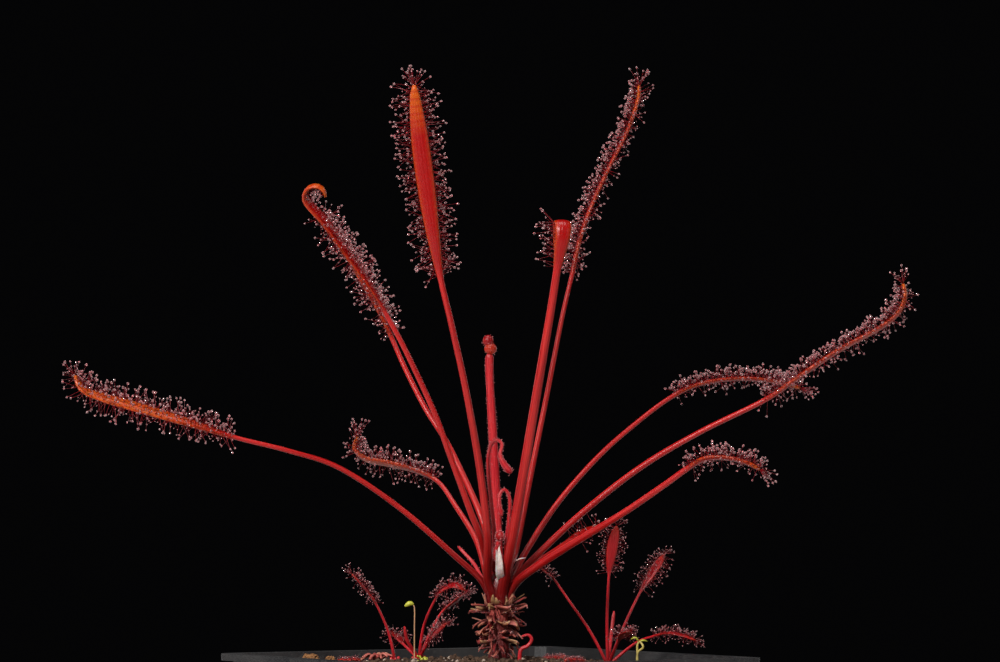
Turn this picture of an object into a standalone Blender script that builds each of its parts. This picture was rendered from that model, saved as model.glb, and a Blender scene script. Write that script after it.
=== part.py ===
"""A red Cape sundew in a square nursery pot, with the small plants that share its soil.

The origin is the middle of the pot's underside, +Z is up, and the fan of leaves spreads along X.
Every size below is in millimetres; MM turns it into metres where a mesh is placed.
"""

import math
import random

import bmesh
import bpy
from mathutils import Matrix, Quaternion, Vector
from mathutils.bvhtree import BVHTree

MM = 0.001

# The pot: a thin tapered square with rounded corners and a narrow turned-out lip.
POT_HEIGHT = 65.0
POT_TOP_SIDE = 70.0
POT_BASE_SIDE = 52.0
POT_WALL = 1.2
POT_CORNER = 0.045
LIP_OVERHANG = 1.5
LIP_HEIGHT = 1.2
POT_TURN = math.radians(32)
DRAIN_HOLE_RADIUS = 3.0
DRAIN_HOLE_SPREAD = 17.0

# The soil, heaped a little in the middle, with a plain hole for each thing that stands in it.
GAP = 0.3
SOIL_EDGE_DROP = 2.4
SOIL_HEAP = 1.7
SOIL_ROUGHNESS = 0.25
HOLE_DEPTH = 3.0
HOLE_HEADROOM = 3.0

# The main plant: a short stem crusted with old leaf bases, and the crown that the leaves leave.
RIM = POT_HEIGHT
PLANT_X = 2.1
STEM_RADIUS = 1.7
STEM_TOP = 8.9
CROWN_MIDDLE = Vector((PLANT_X, 0, 11.6))
CROWN_RADII = Vector((2.7, 2.7, 3.8))
CROWN_FOOT = STEM_TOP + 1.55
OLD_BASES = 26
LOWEST_BASE = 1.7
HIGHEST_BASE = STEM_TOP - 1.0
GOLDEN_ANGLE = math.radians(137.5)

# A leaf's stalk and blade: how many sides a section has, and how far apart the sections are.
LEAF_SIDES = 6
PLANTLET_SIDES = 5
LEAF_STEP = 3.0
CURLED_STEP = 2.4
PLANTLET_STEP = 1.7
BLADE_THICKNESS = 0.85
TIP_THICKNESS = 0.65
CURL_RADIUS = 2.0
PLAIN_STEP = 2.6
BENT_STEP = 1.6
ROLLED_STEP = 1.3
YOUNG_FLATNESS = 0.75
PLANTLET_STALK = 0.75
PLANTLET_BLADE = 2.0

# A tentacle: a thin stalk with a drop of glue on its end.
STALK_ROOT = 0.20
STALK_NECK = 0.12
DROP_RADIUS = 0.36
TENTACLE_SPACING = 3.5
PLANTLET_SPACING = 3.1
SUNK = 0.42
EDGE_LENGTH = 4.0
FACE_LENGTH = 1.3
PLANTLET_EDGE_LENGTH = 2.0
PLANTLET_FACE_LENGTH = 0.7
ALL_SIDES = (-1, 1, 0)
ROW_STARTS = {-1: 0.15, 1: 0.5, 0: 0.65}
ROLL_BEGINS = 0.68

RED = (0.50, 0.035, 0.025, 1)
PALE_PINK = (0.62, 0.16, 0.13, 1)
STRAW = (0.42, 0.22, 0.13, 1)
IVORY = (0.75, 0.55, 0.45, 1)
LIME = (0.45, 0.48, 0.06, 1)
PEAT = (0.045, 0.028, 0.018, 1)
BLACK_PLASTIC = (0.018, 0.018, 0.020, 1)
BARK = (0.20, 0.10, 0.04, 1)


def material(name, colour, roughness):
    made = bpy.data.materials.new(name)
    made.use_nodes = True
    shader = made.node_tree.nodes["Principled BSDF"]
    shader.inputs["Base Color"].default_value = colour
    shader.inputs["Roughness"].default_value = roughness
    made.diffuse_color = colour
    return made


def place(name, bm, finish, smooth=35):
    """A bmesh in millimetres becomes a named object in metres."""
    mesh = bpy.data.meshes.new(name)
    bmesh.ops.recalc_face_normals(bm, faces=bm.faces)
    bmesh.ops.scale(bm, vec=Vector((MM, MM, MM)), verts=bm.verts)
    bm.to_mesh(mesh)
    bm.free()
    if smooth:
        mesh.shade_smooth()
        mesh.set_sharp_from_angle(angle=math.radians(smooth))
    made = bpy.data.objects.new(name, mesh)
    mesh.materials.append(finish)
    bpy.context.scene.collection.objects.link(made)
    return made


def apply_boolean(target, operation, others):
    """Joins the others to the target, or cuts them out of it, in one Boolean on their collection."""
    group = bpy.data.collections.new(target.name + "_tools")
    bpy.context.scene.collection.children.link(group)
    for other in others:
        bpy.context.scene.collection.objects.unlink(other)
        group.objects.link(other)
    modifier = target.modifiers.new("join", "BOOLEAN")
    modifier.operation = operation
    modifier.operand_type = "COLLECTION"
    modifier.collection = group
    modifier.solver = "EXACT"
    bpy.context.view_layer.update()
    graph = bpy.context.evaluated_depsgraph_get()
    joined = bpy.data.meshes.new_from_object(target.evaluated_get(graph), depsgraph=graph)
    target.modifiers.clear()
    target.data = joined
    for other in others:
        bpy.data.objects.remove(other)
    bpy.data.collections.remove(group)
    return target


# The pot and its soil


def rounded_square(bm, side, z, corner_steps=4):
    """One flat face with rounded corners, its sides turned as the pot stands."""
    bmesh.ops.create_grid(bm, x_segments=1, y_segments=1, size=side / 2)
    bmesh.ops.bevel(
        bm, geom=list(bm.verts), offset=side * POT_CORNER, offset_type="OFFSET",
        affect="VERTICES", segments=corner_steps, profile=0.5, material=-1,
    )
    bmesh.ops.rotate(bm, cent=Vector(), matrix=Matrix.Rotation(POT_TURN, 3, "Z"), verts=bm.verts)
    bmesh.ops.translate(bm, vec=Vector((0, 0, z)), verts=bm.verts)
    bm.faces.ensure_lookup_table()
    return bm.faces[0]


def pull(bm, face, side_from, side_to, rise, keep=False):
    """Extrudes the face by rise and resizes it about the pot's axis; keep leaves the first face."""
    pulled = bmesh.ops.extrude_face_region(bm, geom=[face])["geom"]
    if not keep:
        bm.faces.remove(face)
    top = [item for item in pulled if isinstance(item, bmesh.types.BMFace)][0]
    ratio = side_to / side_from
    bmesh.ops.scale(bm, vec=Vector((ratio, ratio, 1)), verts=top.verts)
    bmesh.ops.translate(bm, vec=Vector((0, 0, rise)), verts=top.verts)
    return top


def pull_profile(bm, face, steps):
    """Pulls the face through a list of (side, z) steps, leaving it as the bottom; returns the last."""
    first = face
    for (side_from, z_from), (side_to, z_to) in zip(steps, steps[1:]):
        face = pull(bm, face, side_from, side_to, z_to - z_from, keep=face is first)
    return face


def wall_side(z):
    """The outer side of the tapered pot at a height."""
    return POT_BASE_SIDE + (POT_TOP_SIDE - 2 * LIP_OVERHANG - POT_BASE_SIDE) * z / POT_HEIGHT


def upright_prism(x, y, low, high, radius, sides=6):
    """A cutter or peg standing between two heights."""
    bm = bmesh.new()
    middle = Matrix.Translation((x, y, (low + high) / 2))
    bmesh.ops.create_cone(
        bm, cap_ends=True, segments=sides, radius1=radius, radius2=radius, depth=high - low, matrix=middle,
    )
    return place("cutter", bm, PLASTIC, smooth=0)


def make_pot():
    inner = -2 * POT_WALL
    profile = [
        (POT_BASE_SIDE, 0),
        (wall_side(POT_HEIGHT - LIP_HEIGHT), POT_HEIGHT - LIP_HEIGHT),
        (POT_TOP_SIDE, POT_HEIGHT - LIP_HEIGHT),
        (POT_TOP_SIDE, POT_HEIGHT),
        (wall_side(POT_HEIGHT) + inner, POT_HEIGHT),
        (POT_BASE_SIDE + inner, POT_WALL),
    ]
    bm = bmesh.new()
    pull_profile(bm, rounded_square(bm, POT_BASE_SIDE, 0), profile)
    pot = place("pot", bm, PLASTIC)
    drains = []
    for step in range(4):
        angle = POT_TURN + math.pi / 4 + step * math.pi / 2
        x = DRAIN_HOLE_SPREAD * math.cos(angle)
        y = DRAIN_HOLE_SPREAD * math.sin(angle)
        drains.append(upright_prism(x, y, -POT_WALL, 2 * POT_WALL, DRAIN_HOLE_RADIUS, sides=10))
    return apply_boolean(pot, "DIFFERENCE", drains)


def soil_height(x, y):
    """Height of the heaped soil, with a gentle unevenness that follows no row or column."""
    far = math.hypot(x, y) / (POT_TOP_SIDE / 2)
    bumps = math.sin(0.55 * x + 0.9) * math.cos(0.47 * y - 0.4) + 0.6 * math.sin(0.31 * x - 0.83 * y)
    return POT_HEIGHT - SOIL_EDGE_DROP + SOIL_HEAP * max(0.0, 1 - far * far) + SOIL_ROUGHNESS * bumps


def make_soil(planted):
    low = POT_WALL + GAP
    slack = -2 * (POT_WALL + GAP)
    top = POT_HEIGHT - SOIL_EDGE_DROP
    steps = [(wall_side(low) + slack, low), (wall_side(top) + slack, top)]
    bm = bmesh.new()
    face = pull_profile(bm, rounded_square(bm, steps[0][0], low, corner_steps=2), steps)
    side = steps[-1][0]
    for share in (0.8, 0.6, 0.4, 0.2):
        face = pull(bm, face, side, steps[-1][0] * share, 0)
        side = steps[-1][0] * share
    for vert in bm.verts:
        if vert.co.z > top - 0.01:
            vert.co.z = soil_height(vert.co.x, vert.co.y)
    bmesh.ops.triangulate(bm, faces=[f for f in bm.faces if f.calc_center_median().z > top - 5])
    soil = place("soil", bm, SOIL)
    surface = BVHTree.FromObject(soil, bpy.context.evaluated_depsgraph_get())
    holes = []
    for x, y, radius in planted:
        ground = surface.ray_cast(Vector((x * MM, y * MM, 1)), Vector((0, 0, -1)))[0].z / MM
        holes.append(upright_prism(x, y, ground - HOLE_DEPTH - GAP, ground + HOLE_HEADROOM, radius + GAP))
    apply_boolean(soil, "DIFFERENCE", holes)
    return surface


# Swept leaves


def smooth_route(points, step):
    """A smooth curve through the points, read at even steps of length."""
    ends = [2 * points[0] - points[1], *points, 2 * points[-1] - points[-2]]
    fine = []
    for i in range(1, len(ends) - 2):
        p0, p1, p2, p3 = ends[i - 1:i + 3]
        for k in range(12):
            t = k / 12
            fine.append(0.5 * (
                2 * p1 + (p2 - p0) * t + (2 * p0 - 5 * p1 + 4 * p2 - p3) * t * t
                + (3 * p1 - p0 - 3 * p2 + p3) * t ** 3
            ))
    fine.append(points[-1].copy())
    lengths = [0.0]
    for a, b in zip(fine, fine[1:]):
        lengths.append(lengths[-1] + (b - a).length)
    count = max(3, round(lengths[-1] / step))
    even = []
    k = 0
    for i in range(count + 1):
        wanted = lengths[-1] * i / count
        while k < len(fine) - 2 and lengths[k + 1] < wanted:
            k += 1
        span = lengths[k + 1] - lengths[k]
        even.append(fine[k].lerp(fine[k + 1], (wanted - lengths[k]) / span if span else 0))
    return even


def frames_along(route, face):
    """(point, along, across, up) at each point; up starts near face and turns as little as it can."""
    frames = []
    up = face
    for i, point in enumerate(route):
        along = (route[min(i + 1, len(route) - 1)] - route[max(i - 1, 0)]).normalized()
        if frames:
            up = frames[-1][1].rotation_difference(along) @ up
        up = (up - up.dot(along) * along).normalized()
        frames.append((point, along, along.cross(up).normalized(), up))
    return frames


def curl_points(start, along, up, radius, turn, shrink=0.75, steps=5):
    """Points of a tip that rolls up over its face, in an arc that tightens."""
    points = []
    point = start
    heading = along.normalized()
    axis = heading.cross(up).normalized()
    for k in range(steps):
        angle = turn / steps
        arc = radius * (1 - (1 - shrink) * k / steps) * angle
        heading = Quaternion(axis, angle / 2) @ heading
        point = point + heading * arc
        heading = Quaternion(axis, angle / 2) @ heading
        points.append(point)
    return points


def sweep(name, frames, widths, thicknesses, finish, sides=LEAF_SIDES):
    """A closed tube whose elliptical section is widest across; its ends are flat."""
    bm = bmesh.new()
    rings = []
    for (point, along, across, up), width, thickness in zip(frames, widths, thicknesses):
        axes = Matrix((up * thickness / 2, across * width / 2, along)).transposed().to_4x4()
        ring = bmesh.ops.create_circle(
            bm, segments=sides, radius=1, matrix=Matrix.Translation(point) @ axes,
        )["verts"]
        rings.append(ring)
    for first, second in zip(rings, rings[1:]):
        for i in range(sides):
            bm.faces.new((first[i], first[i - 1], second[i - 1], second[i]))
    bm.faces.new(rings[0])
    bm.faces.new(rings[-1])
    return place(name, bm, finish)


def tentacle_mesh(length):
    """Three-sided stalk and drop, standing on the origin along +Z."""
    bm = bmesh.new()
    bmesh.ops.create_cone(
        bm, cap_ends=True, segments=3, radius1=STALK_ROOT, radius2=STALK_NECK,
        depth=length, matrix=Matrix.Translation((0, 0, length / 2)),
    )
    top = max(bm.faces, key=lambda face: face.calc_center_median().z)
    grown = bmesh.ops.extrude_discrete_faces(bm, faces=[top])["faces"][0]
    scale_up = DROP_RADIUS / STALK_NECK
    bmesh.ops.scale(bm, vec=Vector((scale_up, scale_up, 1)), verts=grown.verts)
    bmesh.ops.translate(bm, vec=Vector((0, 0, 0.7 * DROP_RADIUS)), verts=grown.verts)
    crown = bmesh.ops.poke(bm, faces=[grown])["verts"]
    bmesh.ops.translate(bm, vec=Vector((0, 0, 1.1 * DROP_RADIUS)), verts=crown)
    bmesh.ops.recalc_face_normals(bm, faces=bm.faces)
    bmesh.ops.scale(bm, vec=Vector((MM, MM, MM)), verts=bm.verts)
    mesh = bpy.data.meshes.new(f"tentacle_{length:.1f}")
    bm.to_mesh(mesh)
    bm.free()
    return mesh


def tentacle(mesh, root, direction, spin):
    """One tentacle object, its root sunk into the blade."""
    made = bpy.data.objects.new("tentacle", mesh)
    turn = Vector((0, 0, 1)).rotation_difference(direction)
    made.matrix_world = (
        Matrix.Translation((root - direction * SUNK) * MM)
        @ turn.to_matrix().to_4x4() @ Matrix.Rotation(spin, 4, "Z")
    )
    bpy.context.scene.collection.objects.link(made)
    return made


def edge_tentacle(frame, half, side, mesh, draw):
    """A long tentacle on one edge, leaning away from the face."""
    point, along, across, up = frame
    down = math.radians(draw.uniform(5, 40))
    direction = side * across * math.cos(down) - up * math.sin(down)
    direction += along * draw.uniform(-0.15, 0.25)
    root = point + side * across * (half - 0.05)
    return tentacle(mesh, root, direction.normalized(), draw.uniform(0, math.tau))


def face_tentacle(frame, half, mesh, draw):
    """A short tentacle that stands on the face."""
    point, along, across, up = frame
    lean = draw.uniform(-0.35, 0.35)
    direction = up + across * lean + along * draw.uniform(-0.2, 0.2)
    root = point + up * 0.25 + across * lean * half
    return tentacle(mesh, root, direction.normalized(), draw.uniform(0, math.tau))


def blade_tentacles(frames, widths, meshes, draw, spacing, rolled, sides):
    """Rows of tentacles on the blade's sides: -1 and 1 are its edges and 0 is its face.

    An open blade with all its sides also has a fan at its tip.
    """
    long_mesh, short_mesh = meshes
    made = []
    step = (frames[1][0] - frames[0][0]).length
    rows = max(2, round(step * (len(frames) - 1) / spacing))
    for row in range(rows):
        for side in sides:
            if side == 0 and spacing < TENTACLE_SPACING and row % 2:
                continue
            share = (row + ROW_STARTS[side]) / rows
            if rolled and share > ROLL_BEGINS:
                continue
            place_at = min(share * (len(frames) - 1), len(frames) - 1.001)
            k = int(place_at)
            point = frames[k][0].lerp(frames[k + 1][0], place_at - k)
            frame = (point, *frames[k][1:])
            half = min(widths[k], widths[k + 1]) / 2
            if side:
                made.append(edge_tentacle(frame, half, side, long_mesh, draw))
            else:
                made.append(face_tentacle(frame, half, short_mesh, draw))
    point, along, across, up = frames[-1]
    for lean in () if rolled or sides != ALL_SIDES else (-0.9, 0, 0.9):
        direction = (along + across * lean - up * 0.2).normalized()
        made.append(tentacle(long_mesh, point, direction, draw.uniform(0, math.tau)))
    return made


def leaf_solids(name, petiole, blade, face, size, meshes, rolled=False, sides=ALL_SIDES):
    """The swept body of one leaf and the tentacles that join it.

    size gives the petiole's width, the blade's width, the distance between sections, how many
    sides a section has, and the distance between rows of tentacles.
    """
    stalk_width, blade_width, step, section_sides, spacing = size
    frames = frames_along(smooth_route(petiole + blade, step), face)
    stalk_length = sum((b - a).length for a, b in zip(petiole, petiole[1:]))
    total = stalk_length + sum((b - a).length for a, b in zip([petiole[-1], *blade], blade))
    begin = stalk_length / total if blade else 2.0
    shares = [i / (len(frames) - 1) for i in range(len(frames))]
    kept = [i for i, share in enumerate(shares) if i % 2 == 0 or share < 0.1 or share > begin - 0.04]
    frames = [frames[i] for i in kept]
    shares = [shares[i] for i in kept]
    widths = []
    thicknesses = []
    for share in shares:
        base = min(1.0, 0.65 + share * 3)
        if share <= begin:
            widths.append(stalk_width * base)
            thicknesses.append(stalk_width * base * 0.85)
        else:
            along_blade = (share - begin) / (1 - begin)
            swell = math.sin(math.pi * min(1.0, along_blade * 1.6 + 0.12) / 2)
            taper = 1 - 0.62 * max(0.0, (along_blade - 0.62) / 0.38) ** 2
            widths.append((stalk_width + (blade_width - stalk_width) * swell) * taper)
            thicknesses.append(BLADE_THICKNESS + (TIP_THICKNESS - BLADE_THICKNESS) * along_blade)
    body = sweep(name, frames, widths, thicknesses, LEAF_RED, sides=section_sides)
    first = next((i for i, share in enumerate(shares) if share > begin), None)
    if first is None:
        return body, []
    draw = random.Random(name)
    return body, blade_tentacles(frames[first:], widths[first:], meshes, draw, spacing, rolled, sides)


def seat(azimuth, elevation):
    """A point just off the crown's surface, and the way out of it."""
    a = math.radians(azimuth)
    e = math.radians(elevation)
    out = Vector((math.cos(a) * math.cos(e), math.sin(a) * math.cos(e), math.sin(e)))
    point = CROWN_MIDDLE + Vector(o * r for o, r in zip(out, CROWN_RADII)) + out * GAP
    return point, out


def lifted(points):
    """Heights above the rim become heights in the part."""
    return [Vector((p[0], p[1], p[2] + RIM)) for p in points]


# Main leaves: where each leaves the crown (azimuth, elevation), the way the blade's face looks, the
# widths of stalk and blade, the turn in degrees of a tip that rolls up, and the routes of both.
# Heights are above the pot's rim.
LEAVES = {
    "leaf_far_left": {
        "seat": (190, 20), "face": (0.1, 0.35, 0.9), "stalk": 1.1, "wide": 3.0, "curl": 0,
        "petiole": [
            (-4.7, -1, 16.6), (-15.1, -4, 25.7), (-25.4, -8, 32.6), (-33.9, -11, 35.5),
            (-43.1, -13, 37.8),
        ],
        "blade": [
            (-50.9, -15, 40.3), (-59.3, -16, 42.8), (-66.3, -17, 44.8), (-69.0, -17.3, 46.0),
            (-70.4, -17, 48.3),
        ],
    },
    "leaf_left_hooked": {
        "seat": (130, 24), "face": (0.1, 0.1, 1), "stalk": 1.2, "wide": 2.6, "curl": 0,
        "petiole": [(-1.9, 6, 20.1), (-5.7, 11, 26.3), (-8.7, 14, 30.4)],
        "blade": [
            (-12.9, 16, 32.5), (-18.3, 18, 33.8), (-21.7, 19, 34.5), (-23.8, 20, 36.3),
            (-23.3, 21, 38.5),
        ],
    },
    "leaf_left_tall": {
        "seat": (190, 55), "face": (0.8, -0.35, 0.4), "stalk": 1.25, "wide": 3.0, "curl": 230,
        "petiole": [
            (-1.2, -3, 21.0), (-2.8, -4, 25.0), (-6.4, -6, 34.9), (-9.3, -8, 42.7), (-14.1, -10, 53.0),
            (-17.6, -11, 59.5),
        ],
        "blade": [(-20.6, -12, 64.6), (-24.4, -13, 70.0), (-27.8, -14, 74.8), (-30.7, -15, 78.0)],
    },
    "leaf_left_behind": {
        "seat": (132, 55), "face": (0.8, -0.4, 0.4), "stalk": 1.3, "wide": 3.0, "curl": 0,
        "petiole": [
            (0.0, 7, 20.9), (-1.6, 9, 25.7), (-4.5, 13, 32.1), (-7.3, 16, 37.7), (-11.1, 19, 43.7),
            (-14.8, 21, 51.0), (-17.0, 22, 56.0),
        ],
        "blade": [(-19.3, 23, 61.1), (-22.6, 23, 66.9), (-25.7, 23, 72.3), (-28.0, 22, 75.9)],
    },
    "leaf_upright_left": {
        "seat": (232, 24), "face": (0.05, 1, 0.1), "stalk": 1.35, "wide": 3.1, "curl": 0,
        "petiole": [
            (0.1, -6.5, 21.0), (-1.2, -10, 32.3), (-3.6, -16, 45.9), (-6.0, -20, 56.8),
            (-7.8, -22, 64.4),
        ],
        "blade": [
            (-9.1, -24, 71.9), (-10.3, -25, 80.2), (-11.3, -26, 87.7), (-12.0, -26.5, 93.6),
            (-12.3, -27, 97.1),
        ],
    },
    "leaf_folded": {
        "seat": (288, 24), "face": (-0.1, 1, 0.1), "stalk": 1.7, "wide": 2.7, "curl": 0,
        "petiole": [(4.2, -6, 19.3), (6.4, -11, 32.3), (9.2, -17, 49.3), (10.9, -20, 59.4)],
        "blade": [
            (12.0, -22, 66.9), (12.9, -23, 71.8), (13.0, -22.6, 73.8), (12.7, -20.6, 74.3),
            (12.1, -19.6, 72.2), (11.2, -19.4, 68.8), (10.5, -19.6, 65.5),
        ],
    },
    "leaf_upright_right": {
        "seat": (25, 52), "face": (-0.9, -0.1, 0.3), "stalk": 1.2, "wide": 2.8, "curl": 0,
        "petiole": [
            (5.1, 4, 18.3), (7.6, 9, 30.7), (10.9, 14, 46.8), (13.4, 17, 59.4), (15.3, 18.5, 67.6),
        ],
        "blade": [
            (16.7, 19.5, 73.9), (18.9, 20.5, 80.3), (22.2, 21, 87.5), (25.4, 21.5, 93.9),
            (27.3, 22, 99.4), (27.6, 22.5, 102.3),
        ],
    },
    "leaf_right_upper": {
        "seat": (42, 24), "face": (-0.1, 0, 1), "stalk": 1.2, "wide": 2.8, "curl": 0,
        "petiole": [
            (7.6, 8, 19.2), (13.0, 13, 27.1), (20.3, 19, 35.2), (27.7, 24, 41.6), (33.6, 27, 45.9),
        ],
        "blade": [(38.8, 29, 48.3), (45.3, 31, 49.3), (51.8, 32, 49.0), (57.4, 33, 47.7)],
    },
    "leaf_right_long": {
        "seat": (2, 24), "face": (-0.4, 0.1, 0.9), "stalk": 1.3, "wide": 2.9, "curl": 0,
        "petiole": [
            (7.9, 0, 16.6), (16.2, -2, 24.5), (26.6, -4, 32.7), (37.0, -6, 38.9), (48.1, -8, 44.4),
        ],
        "blade": [
            (54.1, -9, 48.5), (60.9, -10, 53.0), (67.7, -11, 56.7), (70.9, -11.5, 59.3),
            (72.1, -12, 62.2), (71.7, -12, 64.3),
        ],
    },
    "leaf_right_low": {
        "seat": (328, 12), "face": (-0.1, 0.1, 1), "stalk": 1.5, "wide": 2.9, "curl": 0,
        "petiole": [
            (7.5, -5, 14.8), (14.3, -9, 19.3), (22.8, -14, 24.5), (29.5, -17, 29.1), (34.2, -19, 32.5),
        ],
        "blade": [(37.1, -20, 34.1), (40.8, -21, 34.2), (44.0, -21.8, 33.4), (46.2, -22.4, 32.3)],
    },
    "leaf_right_small": {
        "seat": (76, 20), "face": (0, 0, 1), "stalk": 1.0, "wide": 2.2, "curl": 0,
        "petiole": [(10.3, 9, 17.2), (14.5, 14, 19.8)],
        "blade": [(17.6, 17, 21.4), (20.7, 19, 22.5)],
    },
}

# A blade that isn't named here bears tentacles on all its sides.
SIDES_WITH_TENTACLES = {"leaf_folded": (1,)}

# Young leaves that have no open blade yet, with the bud and the old stub; a head that is rolled
# has its roll's (radius, turn in degrees).
YOUNG_LEAVES = {
    "leaf_centre": {
        "seat": (80, 80), "face": (0, -1, 0), "width": 1.7, "head": 2.1, "roll": (0.95, 330),
        "route": [(1.9, 1.6, 18.4), (1.6, 2, 27.1), (1.1, 1.5, 37.6), (0.5, 1, 48.2), (0.4, 0.8, 52.9)],
    },
    "leaf_crook": {
        "seat": (245, 52), "face": (1, 0, 0), "width": 0.85, "head": 1.2, "roll": None,
        "route": [
            (1.5, -4.3, 19.3), (0.7, -5.8, 27.1), (0.0, -6.5, 33.2), (0.5, -6.5, 36.3),
            (1.6, -6.5, 37.5), (2.6, -6.5, 36.8), (2.8, -6.5, 34.7), (3.3, -6.5, 33.0),
            (4.2, -6.5, 31.8),
        ],
    },
    "leaf_hairpin": {
        "seat": (330, 50), "face": (-1, 0, 0), "width": 0.8, "head": 0.9, "roll": None,
        "route": [
            (3.3, -4.0, 18.4), (3.8, -5, 23.6), (4.0, -5.4, 27.1), (3.2, -5.4, 28.9),
            (2.3, -5.6, 28.2), (2.2, -5.8, 26.4), (2.6, -6, 24.3),
        ],
    },
    "leaf_bud": {
        "seat": (285, 52), "face": (0, -1, 0), "width": 0.9, "head": 1.5, "roll": (0.6, 300),
        "route": [(1.4, -4.9, 17.4), (1.8, -6.9, 19.8)],
    },
    "leaf_stub": {
        "seat": (160, 22), "face": (0, 0, 1), "width": 0.8, "head": 0.6, "roll": None,
        "route": [(-2.3, 3, 16.0), (-5.1, 5, 19.0)],
    },
}

# Small plants in the same soil, leaf by leaf.
PLANTLETS = {
    "plantlet_left_edge": [
        {
            "face": (0.8, 0, 0.6),
            "petiole": [(-17.5, 9, 4.1), (-19.5, 8, 8.7)],
            "blade": [(-21.1, 8, 11.0), (-22.6, 7, 12.8), (-23.8, 6.5, 14.1)],
        },
    ],
    "plantlet_left": [
        {
            "face": (-0.6, 0, 0.8),
            "petiole": [(-11.1, 7.5, 5.0), (-9.0, 6, 9.8)],
            "blade": [(-7.4, 5, 11.6), (-5.5, 4, 12.2), (-3.9, 3.5, 11.3)],
        },
        {
            "face": (-0.5, 0, 0.8),
            "petiole": [(-9.4, 12, 4.9), (-7.9, 14, 7.3)],
            "blade": [(-6.3, 15, 8.6), (-4.7, 15.5, 9.8), (-3.6, 16, 10.7)],
        },
        {
            "face": (-0.5, 0, 0.8),
            "petiole": [(-10.2, 4, 2.3)],
            "blade": [(-9.3, 2, 3.6), (-8.0, 0, 4.8), (-7.0, -1, 5.6)],
        },
        {
            "face": (0, -1, 0),
            "petiole": [(-14.0, 6, 2.4), (-14.5, 5, 4.9)],
            "blade": [],
        },
        {
            "face": (0, 0, 1),
            "petiole": [(-14.8, 11, 1.6)],
            "blade": [(-15.7, 12.5, 2.7), (-16.8, 14, 3.6)],
        },
    ],
    "plantlet_right": [
        {
            "face": (0, 1, 0.1),
            "petiole": [(21.2, 7, 5.9), (21.5, 5.5, 13.9)],
            "blade": [(22.0, 5, 18.3), (22.5, 4.6, 21.0), (22.9, 4.4, 22.6)],
        },
        {
            "face": (-0.5, -0.7, 0.3),
            "petiole": [(24.6, 12, 5.3), (27.3, 14, 10.7)],
            "blade": [(29.3, 15, 13.9), (30.8, 15.6, 16.1), (31.7, 16, 17.5)],
        },
        {
            "face": (0.3, 0, 1),
            "petiole": [(18.2, 8, 4.0), (14.7, 7, 9.1), (11.9, 6.4, 13.1)],
            "blade": [(10.9, 6, 14.0), (9.8, 5.6, 14.9)],
        },
        {
            "face": (0, 0, 1),
            "petiole": [(26.2, 7, 1.9), (29.3, 5, 3.2)],
            "blade": [(31.9, 4, 3.8), (34.4, 3, 3.4), (36.5, 2, 2.6)],
        },
        {
            "face": (0, -1, 0),
            "petiole": [(22.1, 11, 3.6), (22.6, 12, 7.4)],
            "blade": [],
        },
        {
            "face": (0, 0, 1),
            "petiole": [(23.1, 1.5, 2.6)],
            "blade": [(23.9, -1, 3.6), (24.9, -3, 4.4)],
        },
    ],
}

# The routes of the hooked shoot and of the moss capsule, from the ground up.
BASAL_HOOK = [(5.8, -3.4, 0.8), (7.1, -3.4, 1.8), (7.8, -3.4, 2.9), (7.2, -3.4, 3.7), (6.0, -3.4, 3.4)]
MOSS_CAPSULE = [
    (-12.7, 3.2, 1.0), (-12.7, 3.2, 4.3), (-12.7, 3.2, 8.2), (-13.3, 3.2, 9.0), (-14.4, 3.2, 8.4),
]


def make_crown():
    """The red heart of the rosette, seated on the stem."""
    bm = bmesh.new()
    bmesh.ops.create_uvsphere(bm, u_segments=12, v_segments=8, radius=1)
    bmesh.ops.scale(bm, vec=CROWN_RADII, verts=bm.verts)
    bmesh.ops.translate(bm, vec=CROWN_MIDDLE + Vector((0, 0, RIM)), verts=bm.verts)
    cut = bmesh.ops.bisect_plane(
        bm, geom=[*bm.verts, *bm.edges, *bm.faces], plane_co=(0, 0, RIM + CROWN_FOOT), plane_no=(0, 0, -1),
        clear_outer=True,
    )["geom_cut"]
    bmesh.ops.contextual_create(bm, geom=[edge for edge in cut if isinstance(edge, bmesh.types.BMEdge)])
    return place("crown", bm, LEAF_RED)


def old_leaf_base(draw, height, azimuth):
    """A dry leaf base: a small pointed flap that stands out high on the stem and hangs lower down."""
    share = height / STEM_TOP
    reach = draw.uniform(2.4, 3.8)
    fall = math.radians(draw.uniform(-70, -25) + 60 * share)
    out = Vector((math.cos(azimuth), math.sin(azimuth), 0))
    root = Vector((PLANT_X, 0, RIM + height)) + out * (STEM_RADIUS - 0.7)
    middle = root + out * (0.7 + 0.45 * reach) + Vector((0, 0, 0.35 * reach * math.sin(fall)))
    tip = middle + (out * math.cos(fall) + Vector((0, 0, math.sin(fall)))) * 0.6 * reach
    frames = frames_along([root, middle, tip], Vector((0, 0, 1)))
    wide = draw.uniform(1.3, 2.1)
    return sweep("old_leaf", frames, [wide, wide * 0.8, 0.25], [0.7, 0.6, 0.25], DRY_LEAF, sides=4)


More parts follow.
